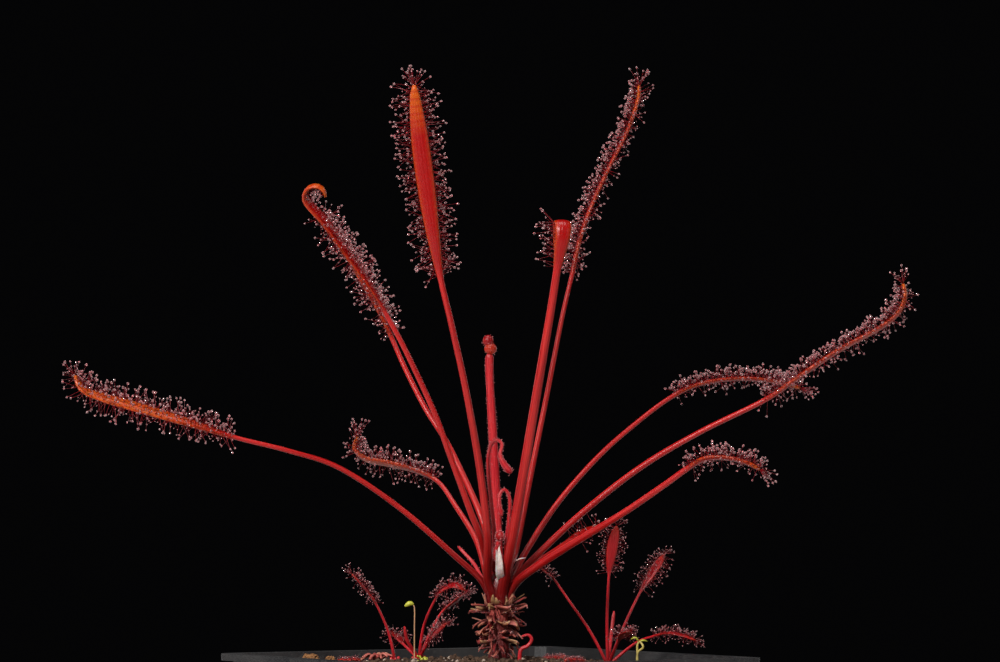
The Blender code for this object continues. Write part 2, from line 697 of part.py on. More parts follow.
def make_stem():
    """The short stem, from its hole in the soil to the crown, with its dry leaf bases."""
    levels = [-3.0, 0.0, 3.0, 6.0, STEM_TOP, STEM_TOP + 1.0]
    route = [Vector((PLANT_X + 0.25 * math.sin(z), 0.2 * math.cos(z), RIM + z)) for z in levels]
    frames = frames_along(route, Vector((0, -1, 0)))
    radii = [1.5, 1.9, 1.7, 1.8, 2.2, 2.0]
    stem = sweep("stem", frames, [2 * r for r in radii], [2 * r for r in radii], DRY_LEAF, sides=8)
    draw = random.Random("old leaf bases")
    bases = []
    for k in range(OLD_BASES):
        height = LOWEST_BASE + (HIGHEST_BASE - LOWEST_BASE) * k / (OLD_BASES - 1)
        bases.append(old_leaf_base(draw, height, k * GOLDEN_ANGLE + draw.uniform(-0.25, 0.25)))
    return apply_boolean(stem, "UNION", bases)


def make_main_leaves():
    meshes = tentacle_mesh(EDGE_LENGTH), tentacle_mesh(FACE_LENGTH)
    for name, leaf in LEAVES.items():
        base, out = seat(*leaf["seat"])
        face = Vector(leaf["face"])
        curl = leaf["curl"]
        blade = [Vector(p) for p in leaf["blade"]]
        if curl:
            blade += curl_points(blade[-1], blade[-1] - blade[-2], face, CURL_RADIUS, math.radians(curl))
        petiole = lifted([base, base + out * 1.2, *leaf["petiole"]])
        step = CURLED_STEP if curl else LEAF_STEP
        size = (leaf["stalk"], leaf["wide"], step, LEAF_SIDES, TENTACLE_SPACING)
        sides = SIDES_WITH_TENTACLES.get(name, ALL_SIDES)
        body, bristles = leaf_solids(name, petiole, lifted(blade), face, size, meshes, curl > 0, sides)
        apply_boolean(body, "UNION", bristles)


def young_widths(width, head, curl, count):
    """A slim foot, a stalk that narrows a little, and a head that is wider if the leaf is rolled."""
    head_share = 0.12 if curl else 0.08
    widths = []
    for i in range(count + 1):
        share = i / count
        stalk = width * min(1.0, 0.65 + 3 * share) * (1.1 - 0.3 * share)
        in_head = max(0.0, (share - 1 + 2 * head_share) / (2 * head_share))
        widths.append(stalk + (head - stalk) * math.sin(math.pi * min(1.0, in_head) / 2))
    return widths


def make_young_leaves():
    for name, leaf in YOUNG_LEAVES.items():
        base, out = seat(*leaf["seat"])
        face = Vector(leaf["face"])
        roll = leaf["roll"]
        route = [base, base + out * 1.0] + [Vector(p) for p in leaf["route"]]
        step = PLAIN_STEP if len(route) < 8 else BENT_STEP
        if roll:
            radius, turn = roll
            route += curl_points(route[-1], route[-1] - route[-2], face, radius, math.radians(turn), steps=6)
            step = ROLLED_STEP
        frames = frames_along(smooth_route(lifted(route), step), face)
        widths = young_widths(leaf["width"], leaf["head"], roll, len(frames) - 1)
        thicknesses = [YOUNG_FLATNESS * min(w, leaf["width"]) for w in widths]
        sweep(name, frames, widths, thicknesses, YOUNG_RED)


def make_stipules():
    """The pale papery scales at the foot of the youngest leaves."""
    base, out = seat(262, 22)
    route = lifted([base, base + out * 1.0, Vector((2.3, -5.2, 15.4)), Vector((3.0, -6.2, 18.4))])
    frames = frames_along(smooth_route(route, 1.0), Vector((0, -1, 0)))
    count = len(frames) - 1
    widths = [0.5 + 0.8 * math.sin(math.pi * min(1, 0.15 + i / count) * 0.95) for i in range(count + 1)]
    sweep("stipule", frames, widths, [0.6] * (count + 1), PAPERY)


def make_plantlet(name, leaves):
    meshes = tentacle_mesh(PLANTLET_EDGE_LENGTH), tentacle_mesh(PLANTLET_FACE_LENGTH)
    x, y, core_radius = PLANTED[name]
    ground = soil_height(x, y)
    bm = bmesh.new()
    bmesh.ops.create_cone(
        bm, cap_ends=True, segments=8, radius1=0.5 * core_radius, radius2=core_radius,
        depth=HOLE_DEPTH + 0.4, matrix=Matrix.Translation((x, y, ground - HOLE_DEPTH / 2 + 0.2)),
    )
    core = place(name, bm, LEAF_RED)
    joined = []
    for k, leaf in enumerate(leaves):
        below = Vector((x, y, ground - RIM - 0.9))
        above = Vector((x, y, ground - RIM + 0.2)).lerp(Vector(leaf["petiole"][0]), 0.12)
        size = (PLANTLET_STALK, PLANTLET_BLADE, PLANTLET_STEP, PLANTLET_SIDES, PLANTLET_SPACING)
        petiole = lifted([below, above, *leaf["petiole"]])
        blade = lifted(leaf["blade"])
        body, bristles = leaf_solids(f"{name}_{k}", petiole, blade, Vector(leaf["face"]), size, meshes)
        joined += [body, *bristles]
    apply_boolean(core, "UNION", joined)


def make_standing(name, points, width, finish, head=None):
    """A thin thing that stands in the soil: its route, its width and perhaps a fatter head."""
    x, y = points[0][:2]
    ground = soil_height(x, y) - RIM
    route = lifted([(x, y, ground - HOLE_DEPTH + GAP), *points])
    frames = frames_along(smooth_route(route, 1.6), Vector((0, -1, 0.2)))
    count = len(frames) - 1
    widths = [width] * (count + 1)
    if head:
        for i in range(count + 1):
            along = (i / count - (1 - head[0])) / head[0]
            if along > 0:
                widths[i] = width + (head[1] - width) * math.sin(math.pi * min(1, along + 0.1))
    return sweep(name, frames, widths, widths, finish)


def make_seedling():
    """A sprout with two thin stalks and a pair of seed leaves."""
    first = make_standing("seedling", [(26.2, -2, 0.4), (26.2, -2, 1.8), (26.5, -2, 2.5)], 0.6, LIME_GREEN)
    second = make_standing("stalk", [(26.2, -2, 0.2), (27.2, -2.5, 1.5), (26.6, -2.1, 2.6)], 0.6, LIME_GREEN)
    seed_leaves = []
    for tip, rise in ((Vector((25.1, -2.2, 2.9)), 0.5), (Vector((28.0, -1.8, 2.5)), 0.2)):
        middle = Vector((26.5, -2, 2.5))
        bend = (middle + tip) / 2 + Vector((0, 0, rise))
        frames = frames_along(lifted([middle, bend, tip]), Vector((0, 0, 1)))
        seed_leaves.append(sweep("seed_leaf", frames, [0.6, 0.8, 0.4], [0.6, 0.6, 0.3], LIME_GREEN))
    return apply_boolean(first, "UNION", [second, *seed_leaves])


def make_tuft(name, spread, count, rise, finish, surface):
    """A low clump of small bent leaves round one root, standing in the soil."""
    x, y, _ = PLANTED[name]
    ground = surface.ray_cast(Vector((x * MM, y * MM, 1)), Vector((0, 0, -1)))[0].z / MM
    draw = random.Random(name)
    bm = bmesh.new()
    bmesh.ops.create_cone(
        bm, cap_ends=True, segments=7, radius1=0.5, radius2=0.9, depth=HOLE_DEPTH + 0.5,
        matrix=Matrix.Translation((x, y, ground - HOLE_DEPTH / 2 + 0.25)),
    )
    core = place(name, bm, finish)
    blades = []
    for k in range(count):
        angle = k * GOLDEN_ANGLE
        out = Vector((math.cos(angle), math.sin(angle), 0))
        reach = spread * draw.uniform(0.6, 1)
        root = Vector((x, y, ground + 0.1))
        middle = root + out * reach * 0.5 + Vector((0, 0, rise * draw.uniform(0.7, 1.1)))
        tip = root + out * reach + Vector((0, 0, rise * draw.uniform(0.55, 0.9)))
        frames = frames_along([root, middle, tip], Vector((0, 0, 1)))
        blades.append(sweep("tuft_leaf", frames, [0.7, 0.9, 0.4], [0.6, 0.6, 0.4], finish, sides=4))
    return apply_boolean(core, "UNION", blades)


def make_bark_chip(name, x, y, size, turn, surface):
    """A chip of bark lying on the soil."""
    bm = bmesh.new()
    bmesh.ops.create_icosphere(bm, subdivisions=1, radius=1)
    draw = random.Random(name)
    for vert in bm.verts:
        vert.co *= draw.uniform(0.85, 1.15)
    bmesh.ops.scale(bm, vec=Vector(size) / 2, verts=bm.verts)
    bmesh.ops.rotate(bm, cent=Vector(), matrix=Matrix.Rotation(turn, 3, "Z"), verts=bm.verts)
    bmesh.ops.translate(bm, vec=Vector((x, y, RIM + 3)), verts=bm.verts)
    drop = 100.0
    for vert in bm.verts:
        hit = surface.ray_cast(vert.co * MM, Vector((0, 0, -1)))[0]
        drop = min(drop, vert.co.z - hit.z / MM)
    bmesh.ops.translate(bm, vec=Vector((0, 0, GAP - drop)), verts=bm.verts)
    return place(name, bm, BARK_BROWN, smooth=0)


for leftover in list(bpy.data.objects):
    bpy.data.objects.remove(leftover)

PLASTIC = material("black_plastic", BLACK_PLASTIC, 0.5)
SOIL = material("soil", PEAT, 0.95)
LEAF_RED = material("leaf_red", RED, 0.4)
YOUNG_RED = material("young_red", PALE_PINK, 0.45)
DRY_LEAF = material("dry_leaf", STRAW, 0.8)
PAPERY = material("papery_scale", IVORY, 0.7)
LIME_GREEN = material("lime_green", LIME, 0.5)
BARK_BROWN = material("bark", BARK, 0.9)

# What stands in the soil: its place, and its radius at the ground.
PLANTED = {
    "stem": (PLANT_X, 0, 2.1),
    "plantlet_left_edge": (-16.2, 9, 0.5),
    "plantlet_left": (-12.0, 8, 1.0),
    "plantlet_right": (21.4, 8, 1.1),
    "basal_hook": (5.8, -3.4, 0.45),
    "moss_capsule": (-12.7, 3.2, 0.35),
    "seedling": (26.4, -2.1, 0.75),
    "old_rosette_left": (-19.5, 12.5, 1.0),
    "rosette_front": (11.9, 5.5, 1.0),
    "rosette_far_left": (-24.0, 0.5, 1.0),
    "rosette_right": (15.0, -8.0, 1.0),
}

make_pot()
soil_surface = make_soil(PLANTED.values())
make_stem()
make_crown()
make_main_leaves()
make_young_leaves()
make_stipules()
for plantlet_name, its_leaves in PLANTLETS.items():
    make_plantlet(plantlet_name, its_leaves)
make_standing("basal_hook", BASAL_HOOK, 0.7, LEAF_RED)
make_standing("moss_capsule", MOSS_CAPSULE, 0.45, LIME_GREEN, head=(0.16, 0.95))
make_seedling()
make_tuft("old_rosette_left", 3.4, 7, 1.7, DRY_LEAF, soil_surface)
make_tuft("rosette_front", 2.3, 6, 0.9, LEAF_RED, soil_surface)
make_tuft("rosette_far_left", 2.2, 5, 0.8, LEAF_RED, soil_surface)
make_tuft("rosette_right", 2.0, 5, 0.8, LEAF_RED, soil_surface)
make_bark_chip("bark_chip_left", -31.0, 6.0, (4.6, 3.0, 2.4), 0.4, soil_surface)
make_bark_chip("bark_chip_small", -27.5, 4.0, (2.4, 2.0, 1.5), 1.2, soil_surface)
make_bark_chip("bark_chip_right", 33.0, -6.0, (3.0, 2.2, 1.3), 2.1, soil_surface)
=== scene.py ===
"""Looks for a red Cape sundew in a square nursery pot, dressed round its solid model.

Lengths are in millimetres until a piece is finished, where MM turns them into metres.
The pieces follow in the order they would be put together: the pot, the soil, the stem, the crown and
its leaves, the young leaves, and then the small plants and other things that share the soil.
"""

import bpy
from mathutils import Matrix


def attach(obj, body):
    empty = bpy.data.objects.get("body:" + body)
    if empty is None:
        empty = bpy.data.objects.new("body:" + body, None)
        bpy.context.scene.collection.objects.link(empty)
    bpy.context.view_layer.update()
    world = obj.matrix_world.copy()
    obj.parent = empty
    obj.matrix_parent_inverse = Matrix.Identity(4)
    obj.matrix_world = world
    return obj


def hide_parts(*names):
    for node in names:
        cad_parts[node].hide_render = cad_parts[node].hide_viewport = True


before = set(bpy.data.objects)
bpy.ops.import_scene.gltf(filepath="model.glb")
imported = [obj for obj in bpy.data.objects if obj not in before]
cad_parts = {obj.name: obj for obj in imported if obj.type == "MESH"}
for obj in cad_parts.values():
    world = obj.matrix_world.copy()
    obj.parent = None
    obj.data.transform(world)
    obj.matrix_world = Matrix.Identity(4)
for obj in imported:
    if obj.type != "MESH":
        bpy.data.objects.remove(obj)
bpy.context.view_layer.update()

import math
import random

import bmesh
import bpy
from mathutils import Matrix, Quaternion, Vector
from mathutils.bvhtree import BVHTree


# The pot
# Thin black moulded plastic, satin on its walls, with dust and dried splashes that gather towards
# the lip. The solid pot has the finished shape already, so it only gets its material here.


def new_material(name, roughness=0.5):
    """A material with its node tree, and its shader."""
    made = bpy.data.materials.new(name)
    made.use_nodes = True
    tree = made.node_tree
    shader = tree.nodes["Principled BSDF"]
    shader.inputs["Roughness"].default_value = roughness
    return made, tree, shader


def new_group(name, takes, gives):
    """A shader node group, from the kinds of its inputs and outputs by name."""
    tree = bpy.data.node_groups.new(name, "ShaderNodeTree")
    for side, sockets in (("INPUT", takes), ("OUTPUT", gives)):
        for label, kind in sockets.items():
            tree.interface.new_socket(label, in_out=side, socket_type="NodeSocket" + kind)
    return tree, tree.nodes.new("NodeGroupInput").outputs, tree.nodes.new("NodeGroupOutput").inputs


def node(tree, kind, inputs=None, **settings):
    """One node: inputs are values, or sockets to link from; settings are its own properties."""
    made = tree.nodes.new("ShaderNode" + kind)
    for key, value in settings.items():
        setattr(made, key, value)
    for key, value in (inputs or {}).items():
        if isinstance(value, bpy.types.NodeSocket):
            tree.links.new(value, made.inputs[key])
        else:
            made.inputs[key].default_value = value
    return made


def math_node(tree, how, first, second=0.0, clamp=False):
    made = node(tree, "Math", {0: first, 1: second}, operation=how, use_clamp=clamp)
    return made.outputs[0]


def times(tree, first, second):
    return math_node(tree, "MULTIPLY", first, second)


def between(tree, value, low, high, to_low=0.0, to_high=1.0):
    """The value's place between low and high, held within the two results."""
    inputs = {"Value": value, "From Min": low, "From Max": high, "To Min": to_low, "To Max": to_high}
    return node(tree, "MapRange", inputs).outputs["Result"]


def blend(tree, factor, *colours):
    """Two colours mixed by a factor."""
    first, second = (c if isinstance(c, bpy.types.NodeSocket) else (*c, 1) for c in colours)
    return node(tree, "Mix", {0: factor, 6: first, 7: second}, data_type="RGBA").outputs[2]


def paint(tree, shader, colour):
    tree.links.new(colour, shader.inputs["Base Color"])


def bump(tree, shader, height, distance, strength=1.0):
    inputs = {"Height": height, "Distance": distance, "Strength": strength}
    tree.links.new(node(tree, "Bump", inputs).outputs["Normal"], shader.inputs["Normal"])


def make_grain():
    """Noise in the object's own space; its scale is in cycles a metre."""
    takes = {"Scale": "Float", "Detail": "Float", "Roughness": "Float"}
    tree, given, result = new_group("grain", takes, {"Value": "Float"})
    where = node(tree, "TexCoord").outputs["Object"]
    inputs = {"Vector": where, **{label: given[label] for label in takes}}
    tree.links.new(node(tree, "TexNoise", inputs).outputs["Fac"], result["Value"])
    return tree


GRAIN = make_grain()


def grain(tree, scale, detail=4.0, roughness=0.6):
    inputs = {"Scale": scale, "Detail": detail, "Roughness": roughness}
    return node(tree, "Group", inputs, node_tree=GRAIN).outputs["Value"]


def make_pot_plastic():
    made, tree, shader = new_material("pot_plastic")
    where = node(tree, "TexCoord").outputs["Object"]
    height = node(tree, "SeparateXYZ", {"Vector": where}).outputs["Z"]
    near_lip = between(tree, height, 0.052, 0.0655, 0.05, 1.0)
    specks = between(tree, grain(tree, 900.0, 6.0, 0.7), 0.52, 0.66)
    film = between(tree, grain(tree, 90.0, 5.0, 0.65), 0.35, 0.8)
    dust = times(tree, math_node(tree, "MAXIMUM", specks, film), near_lip)
    colour = blend(tree, times(tree, dust, 0.6), (0.010, 0.010, 0.012), (0.06, 0.055, 0.052))
    paint(tree, shader, colour)
    tree.links.new(between(tree, dust, 0.0, 1.0, 0.42, 0.8), shader.inputs["Roughness"])
    bump(tree, shader, grain(tree, 2600.0, 3.0), 0.00006, 0.7)
    return made


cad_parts["pot"].material_slots[0].material = make_pot_plastic()


# The soil
# Dark damp peat: the solid plug carries a rough material, and loose crumbs and pale grit lie on it,
# so that its surface isn't a smooth sheet.

MM = 0.001
RIM = 65.0
SOIL_LOWEST = RIM - 4.5
CRUMB_COUNT = 3800
GRIT_COUNT = 420


def make_mottle():
    """Two tones mixed by rough noise, which is also given out as a height."""
    takes = {"Dark": "Color", "Light": "Color", "Scale": "Float"}
    tree, given, result = new_group("mottle", takes, {"Colour": "Color", "Height": "Float"})
    fine = grain(tree, given["Scale"], 7.0, 0.7)
    tones = blend(tree, between(tree, fine, 0.32, 0.66), given["Dark"], given["Light"])
    tree.links.new(tones, result["Colour"])
    tree.links.new(fine, result["Height"])
    return tree


MOTTLE = make_mottle()


def make_mottled(name, dark, light, scale, depth, roughness=0.95, glow=0.0):
    """A matt mottled material; glow lets a little light through thin pieces."""
    made, tree, shader = new_material(name, roughness)
    inputs = {"Dark": (*dark, 1), "Light": (*light, 1), "Scale": scale}
    tones = node(tree, "Group", inputs, node_tree=MOTTLE).outputs
    paint(tree, shader, tones["Colour"])
    bump(tree, shader, tones["Height"], depth)
    shader.inputs["Specular IOR Level"].default_value = 0.3
    shader.inputs["Subsurface Weight"].default_value = glow
    shader.inputs["Subsurface Scale"].default_value = 0.0006
    return made


def keep_mesh(name, bm):
    mesh = bpy.data.meshes.new(name)
    bm.to_mesh(mesh)
    bm.free()
    return mesh


def add_copy(bm, mesh, place):
    """Adds a moved copy of a mesh."""
    copy = mesh.copy()
    copy.transform(place)
    bm.from_mesh(copy)
    bpy.data.meshes.remove(copy)


def finish_mesh(name, bm, material, smooth=True):
    """A bmesh in millimetres becomes a named object in metres."""
    bmesh.ops.scale(bm, vec=Vector((MM, MM, MM)), verts=bm.verts)
    mesh = keep_mesh(name, bm)
    if smooth:
        mesh.shade_smooth()
    mesh.materials.append(material)
    made = bpy.data.objects.new(name, mesh)
    bpy.context.scene.collection.objects.link(made)
    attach(made, "root")
    return made


soil_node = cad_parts["soil"]
PEAT = make_mottled("peat", (0.010, 0.006, 0.004), (0.075, 0.042, 0.026), 700.0, 0.0006)
soil_node.material_slots[0].material = PEAT
SOIL_TREE = BVHTree.FromPolygons(
    [soil_node.matrix_world @ vert.co for vert in soil_node.data.vertices],
    [face.vertices[:] for face in soil_node.data.polygons],
)


def soil_at(x, y):
    """The height of the soil, in millimetres, or None past its edge or in a planting hole."""
    hit = SOIL_TREE.ray_cast(Vector((x * MM, y * MM, 0.1)), Vector((0, 0, -1)))[0]
    if hit is None or hit.z / MM < SOIL_LOWEST:
        return None
    return hit.z / MM


def crumb_template(draw):
    """One irregular grain about 1 mm across."""
    bm = bmesh.new()
    bmesh.ops.create_icosphere(bm, subdivisions=1, radius=0.5)
    for vert in bm.verts:
        vert.co *= draw.uniform(0.65, 1.35)
    return keep_mesh("crumb", bm)


CRUMBS = [crumb_template(random.Random(f"crumb {k}")) for k in range(6)]


def add_crumb(bm, draw, place, size, squash):
    """Adds one grain, turned and squashed its own way."""
    spin = Matrix.Rotation(draw.uniform(0, math.tau), 4, "Z")
    tilt = Matrix.Rotation(draw.uniform(-0.6, 0.6), 4, "X")
    shape = Matrix.Diagonal((size, size * draw.uniform(0.5, 1), size * squash, 1))
    add_copy(bm, draw.choice(CRUMBS), Matrix.Translation(place) @ (spin @ tilt) @ shape)


def scatter(bm, draw, count, sizes, squash, reach, lift):
    """Drops grains on the soil: sizes are (least, most), and lift is the share that stands clear."""
    for _ in range(count):
        x, y = draw.uniform(-reach, reach), draw.uniform(-reach, reach)
        z = soil_at(x, y)
        if z is not None:
            size = draw.uniform(*sizes) * draw.uniform(0.6, 1)
            add_crumb(bm, draw, (x, y, z + lift * size), size, squash)


def make_soil_cover():
    draw = random.Random("soil cover")
    crumbs = bmesh.new()
    scatter(crumbs, draw, CRUMB_COUNT, (0.5, 1.9), squash=0.7, reach=44, lift=0.1)
    earth = make_mottled("peat_crumbs", (0.014, 0.008, 0.005), (0.12, 0.065, 0.038), 1500.0, 0.0003)
    finish_mesh("soil_crumbs", crumbs, earth, smooth=False)
    grit = bmesh.new()
    scatter(grit, draw, GRIT_COUNT, (0.35, 1.1), squash=0.75, reach=42, lift=0.3)
    pale = make_mottled("pale_grit", (0.20, 0.14, 0.10), (0.50, 0.40, 0.32), 1500.0, 0.0002)
    finish_mesh("soil_grit", grit, pale, smooth=False)


make_soil_cover()


# The stem
# A short brown stem wrapped in what is left of old leaves: curled pointed flaps from dark red to
# straw, a few loose threads, and dried drops of glue that still catch the light.

CURVE_STEPS = 16


def smooth_route(points, step):
    """A smooth curve through the points, read at even steps of length."""
    ends = [2 * points[0] - points[1], *points, 2 * points[-1] - points[-2]]
    fine = []
    for i in range(1, len(ends) - 2):
        p0, p1, p2, p3 = ends[i - 1:i + 3]
        for k in range(CURVE_STEPS):
            t = k / CURVE_STEPS
            fine.append(0.5 * (
                2 * p1 + (p2 - p0) * t + (2 * p0 - 5 * p1 + 4 * p2 - p3) * t * t
                + (3 * p1 - p0 - 3 * p2 + p3) * t ** 3
            ))
    fine.append(points[-1].copy())
    lengths = [0.0]
    for a, b in zip(fine, fine[1:]):
        lengths.append(lengths[-1] + (b - a).length)
    count = max(3, round(lengths[-1] / step))
    even = []
    k = 0
    for i in range(count + 1):
        wanted = lengths[-1] * i / count
        while k < len(fine) - 2 and lengths[k + 1] < wanted:
            k += 1
        span = lengths[k + 1] - lengths[k]
        even.append(fine[k].lerp(fine[k + 1], (wanted - lengths[k]) / span if span else 0))
    return even


def frames_along(route, face, twist=0.0):
    """(point, along, across, up) at each point; up starts near face and turns no more than twist."""
    frames = []
    up = face
    turn = twist / (len(route) - 1)
    for i, point in enumerate(route):
        along = (route[min(i + 1, len(route) - 1)] - route[max(i - 1, 0)]).normalized()
        if frames:
            up = Quaternion(along, turn) @ (frames[-1][1].rotation_difference(along) @ up)
        up = (up - up.dot(along) * along).normalized()
        frames.append((point, along, along.cross(up).normalized(), up))
    return frames


def section(frame_at, width, thickness):
    """The matrix that puts a unit circle across the route at one frame."""
    point, along, across, up = frame_at
    axes = Matrix((up * thickness / 2, across * width / 2, along)).transposed().to_4x4()
    return Matrix.Translation(point) @ axes


MARKS = ("along", "across", "upper", "tone", "blade")


def mark_layers(bm):
    """The values that a swept piece stores on its vertices, for its material."""
    layers = bm.verts.layers.float
    return [layers.get(name) or layers.new(name) for name in MARKS]


def set_marks(vert, marks, *values):
    for layer, value in zip(marks, values):
        vert[layer] = value


def sweep_into(bm, frames, widths, thicknesses, sides, tone=0.0, blade=None):
    """Pulls a closed tube along the frames and marks how far along and across each vertex is."""
    marks = mark_layers(bm)
    shapes = [section(f, w, t) for f, w, t in zip(frames, widths, thicknesses)]
    ring = bmesh.ops.create_circle(bm, cap_ends=True, segments=sides, radius=1, matrix=shapes[0])["verts"]
    face = ring[0].link_faces[0]
    first = face
    made = list(ring)
    for k, shape in enumerate(shapes):
        if k:
            pulled = bmesh.ops.extrude_face_region(bm, geom=[face])["geom"]
            if face is not first:
                bm.faces.remove(face)
            face = [item for item in pulled if isinstance(item, bmesh.types.BMFace)][0]
            bmesh.ops.transform(bm, matrix=shape @ shapes[k - 1].inverted(), verts=face.verts)
            made += face.verts
        undo = shape.inverted()
        for vert in face.verts:
            local = undo @ vert.co
            set_marks(vert, marks, k / (len(shapes) - 1), local.y, local.x, tone, blade[k] if blade else 0.0)
    bmesh.ops.recalc_face_normals(bm, faces=list({f for vert in made for f in vert.link_faces}))
    return made


def sweep_shape(bm, points, step, face, shape_at, sides=8, twist=0.0, tone=0.0):
    """Sweeps a curve through the points; shape_at gives its width and thickness at a share of it."""
    frames = frames_along(smooth_route(points, step), face, twist)
    widths, thick = zip(*[shape_at(k / (len(frames) - 1)) for k in range(len(frames))])
    return sweep_into(bm, frames, widths, thick, sides, tone)


def mark(tree, name):
    """A value that was stored on the vertices."""
    return node(tree, "Attribute", attribute_name=name).outputs["Fac"]


def make_fibres():
    """Streaks that run the length of a swept piece, and a ribbed height with fine grain on it."""
    takes = {"Ribs": "Float", "Grain Scale": "Float"}
    tree, given, result = new_group("fibres", takes, {"Streaks": "Float", "Height": "Float"})
    across = mark(tree, "across")
    inputs = {
        "X": times(tree, across, 1.5), "Y": times(tree, mark(tree, "upper"), 1.5),
        "Z": times(tree, mark(tree, "along"), 5.0),
    }
    where = node(tree, "CombineXYZ", inputs).outputs["Vector"]
    inputs = {"Vector": where, "Scale": 1.0, "Detail": 5.0, "Roughness": 0.65}
    noise = node(tree, "TexNoise", inputs).outputs["Fac"]
    tree.links.new(between(tree, noise, 0.38, 0.66), result["Streaks"])
    ridge = math_node(tree, "SINE", times(tree, across, given["Ribs"]))
    fine = grain(tree, given["Grain Scale"], 5.0, 0.65)
    tree.links.new(math_node(tree, "ADD", times(tree, ridge, 0.1), fine), result["Height"])
    return tree


FIBRES = make_fibres()


def fibres(tree, ribs, grain_scale=1300.0):
    inputs = {"Ribs": ribs, "Grain Scale": grain_scale}
    return node(tree, "Group", inputs, node_tree=FIBRES).outputs


def let_light_in(shader, weight, radius, scale):
    """Light that enters the flesh; the radius says which colours travel furthest in it."""
    shader.inputs["Subsurface Weight"].default_value = weight
    shader.inputs["Subsurface Radius"].default_value = radius
    shader.inputs["Subsurface Scale"].default_value = scale


def make_dry_leaf_material():
    made, tree, shader = new_material("dry_leaf_base", 0.5)
    tone = mark(tree, "tone")
    red_to_pink = blend(tree, between(tree, tone, 0.0, 0.4), (0.34, 0.003, 0.009), (0.80, 0.24, 0.18))
    by_tone = blend(tree, between(tree, tone, 0.4, 1.0), red_to_pink, (0.88, 0.54, 0.24))
    lines = fibres(tree, 22.0, 1600.0)
    stained = math_node(tree, "SUBTRACT", 0.8, lines["Streaks"], clamp=True)
    rooted = between(tree, mark(tree, "along"), 0.3, 0.9, 1.0, 0.0)
    darkened = math_node(tree, "MAXIMUM", times(tree, stained, 0.45), rooted)
    colour = blend(tree, darkened, by_tone, (0.11, 0.004, 0.005))
    paint(tree, shader, colour)
    bump(tree, shader, lines["Height"], 0.00022)
    let_light_in(shader, 0.2, (0.6, 0.3, 0.2), 0.0006)
    return made


def make_glue():
    """Clear sticky drops that gather the light: mostly glass, a little milky."""
    made, tree, shader = new_material("glue_drop", 0.12)
    cloudy = between(tree, grain(tree, 300.0, 2.0), 0.35, 0.65)
    # The pink of the drops is painted reflection: it stands in for the red leaf and glands seen in the clear
    # glue. The milky mottle belongs to the glue itself.
    colour = blend(tree, cloudy, (0.88, 0.36, 0.39), (0.96, 0.60, 0.61))
    paint(tree, shader, colour)
    shader.inputs["IOR"].default_value = 1.38
    shader.inputs["Transmission Weight"].default_value = 0.84
    shader.inputs["Coat Weight"].default_value = 1.0
    shader.inputs["Coat Roughness"].default_value = 0.04
    return made


UP = Vector((0, 0, 1))
PLANT_X = 2.1
STEM_TOP = 8.9
GOLDEN_ANGLE = math.radians(137.5)
FLAP_COUNT = 82
THREAD_COUNT = 34
COLLAR_FLAPS = 26
DRIED_DROPS = 420
DRY_LEAF = make_dry_leaf_material()
GLUE = make_glue()


def outward(angle):
    return Vector((math.cos(angle), math.sin(angle), 0))


def dry_base(bm, draw, height, azimuth, wide, reach):
    """One dry leaf base: it stands out near the crown, hangs lower down, and its point curls."""
    def shape_at(along):
        swell = wide * (0.6 + 0.4 * math.sin(math.pi * min(1.0, 2.4 * along) / 2))
        return swell * (1 - along ** 2.4) + 0.05, 0.12 if wide < 0.5 else 0.30 - 0.22 * along

    share = height / STEM_TOP
    fall = math.radians(draw.uniform(-100, -10) + 55 * share)
    out = outward(azimuth)
    side = Vector((-out.y, out.x, 0)) * draw.uniform(-0.6, 0.6)
    root = Vector((PLANT_X, 0, RIM + height)) + out * 1.1
    middle = root + out * (0.7 + 0.38 * reach) + side * 0.3 + UP * (0.38 * reach * math.sin(fall))
    tip = middle + (out * math.cos(fall) + UP * math.sin(fall) + side) * 0.5 * reach
    curl = tip + (out * 0.25 + side + UP * draw.uniform(-0.7, 0.6)) * 0.8
    twist = draw.uniform(-1.3, 1.3)
    tone = draw.uniform(0.0, 0.35) if draw.random() < 0.3 + 0.4 * share else draw.uniform(0.3, 1.0)
    made = sweep_shape(bm, [root, middle, tip, curl], 0.5, UP + out * 0.2, shape_at, twist=twist, tone=tone)
    cup = draw.uniform(0.1, 0.5) * min(1.0, wide)
    across = bm.verts.layers.float["across"]
    for vert in made:
        away = (vert.co - Vector((PLANT_X, 0, vert.co.z))).normalized()
        vert.co += (UP + away * 0.3) * cup * vert[across] ** 2


def collar_flap(bm, draw, azimuth):
    """A torn, papery flap that stands up against the foot of the crown."""
    out = outward(azimuth)
    side = Vector((-out.y, out.x, 0)) * draw.uniform(-0.5, 0.5)
    root = Vector((PLANT_X, 0, RIM + STEM_TOP - draw.uniform(0.4, 1.6))) + out * 1.7
    rise = draw.uniform(1.0, 3.4)
    middle = root + out * draw.uniform(0.75, 1.1) + UP * (0.55 * rise)
    tip = root + out * draw.uniform(0.6, 1.7) + side + UP * rise
    twist = draw.uniform(-0.6, 0.6)
    wide = draw.choice((0.2, 0.7, 1.2, 1.6))
    tone = draw.choice((0.15, 0.6, 1.0))
    sweep_shape(
        bm, [root, middle, tip], 0.4, out, lambda along: (wide * (1 - 0.85 * along ** 1.6), 0.1),
        twist=twist, tone=tone,
    )


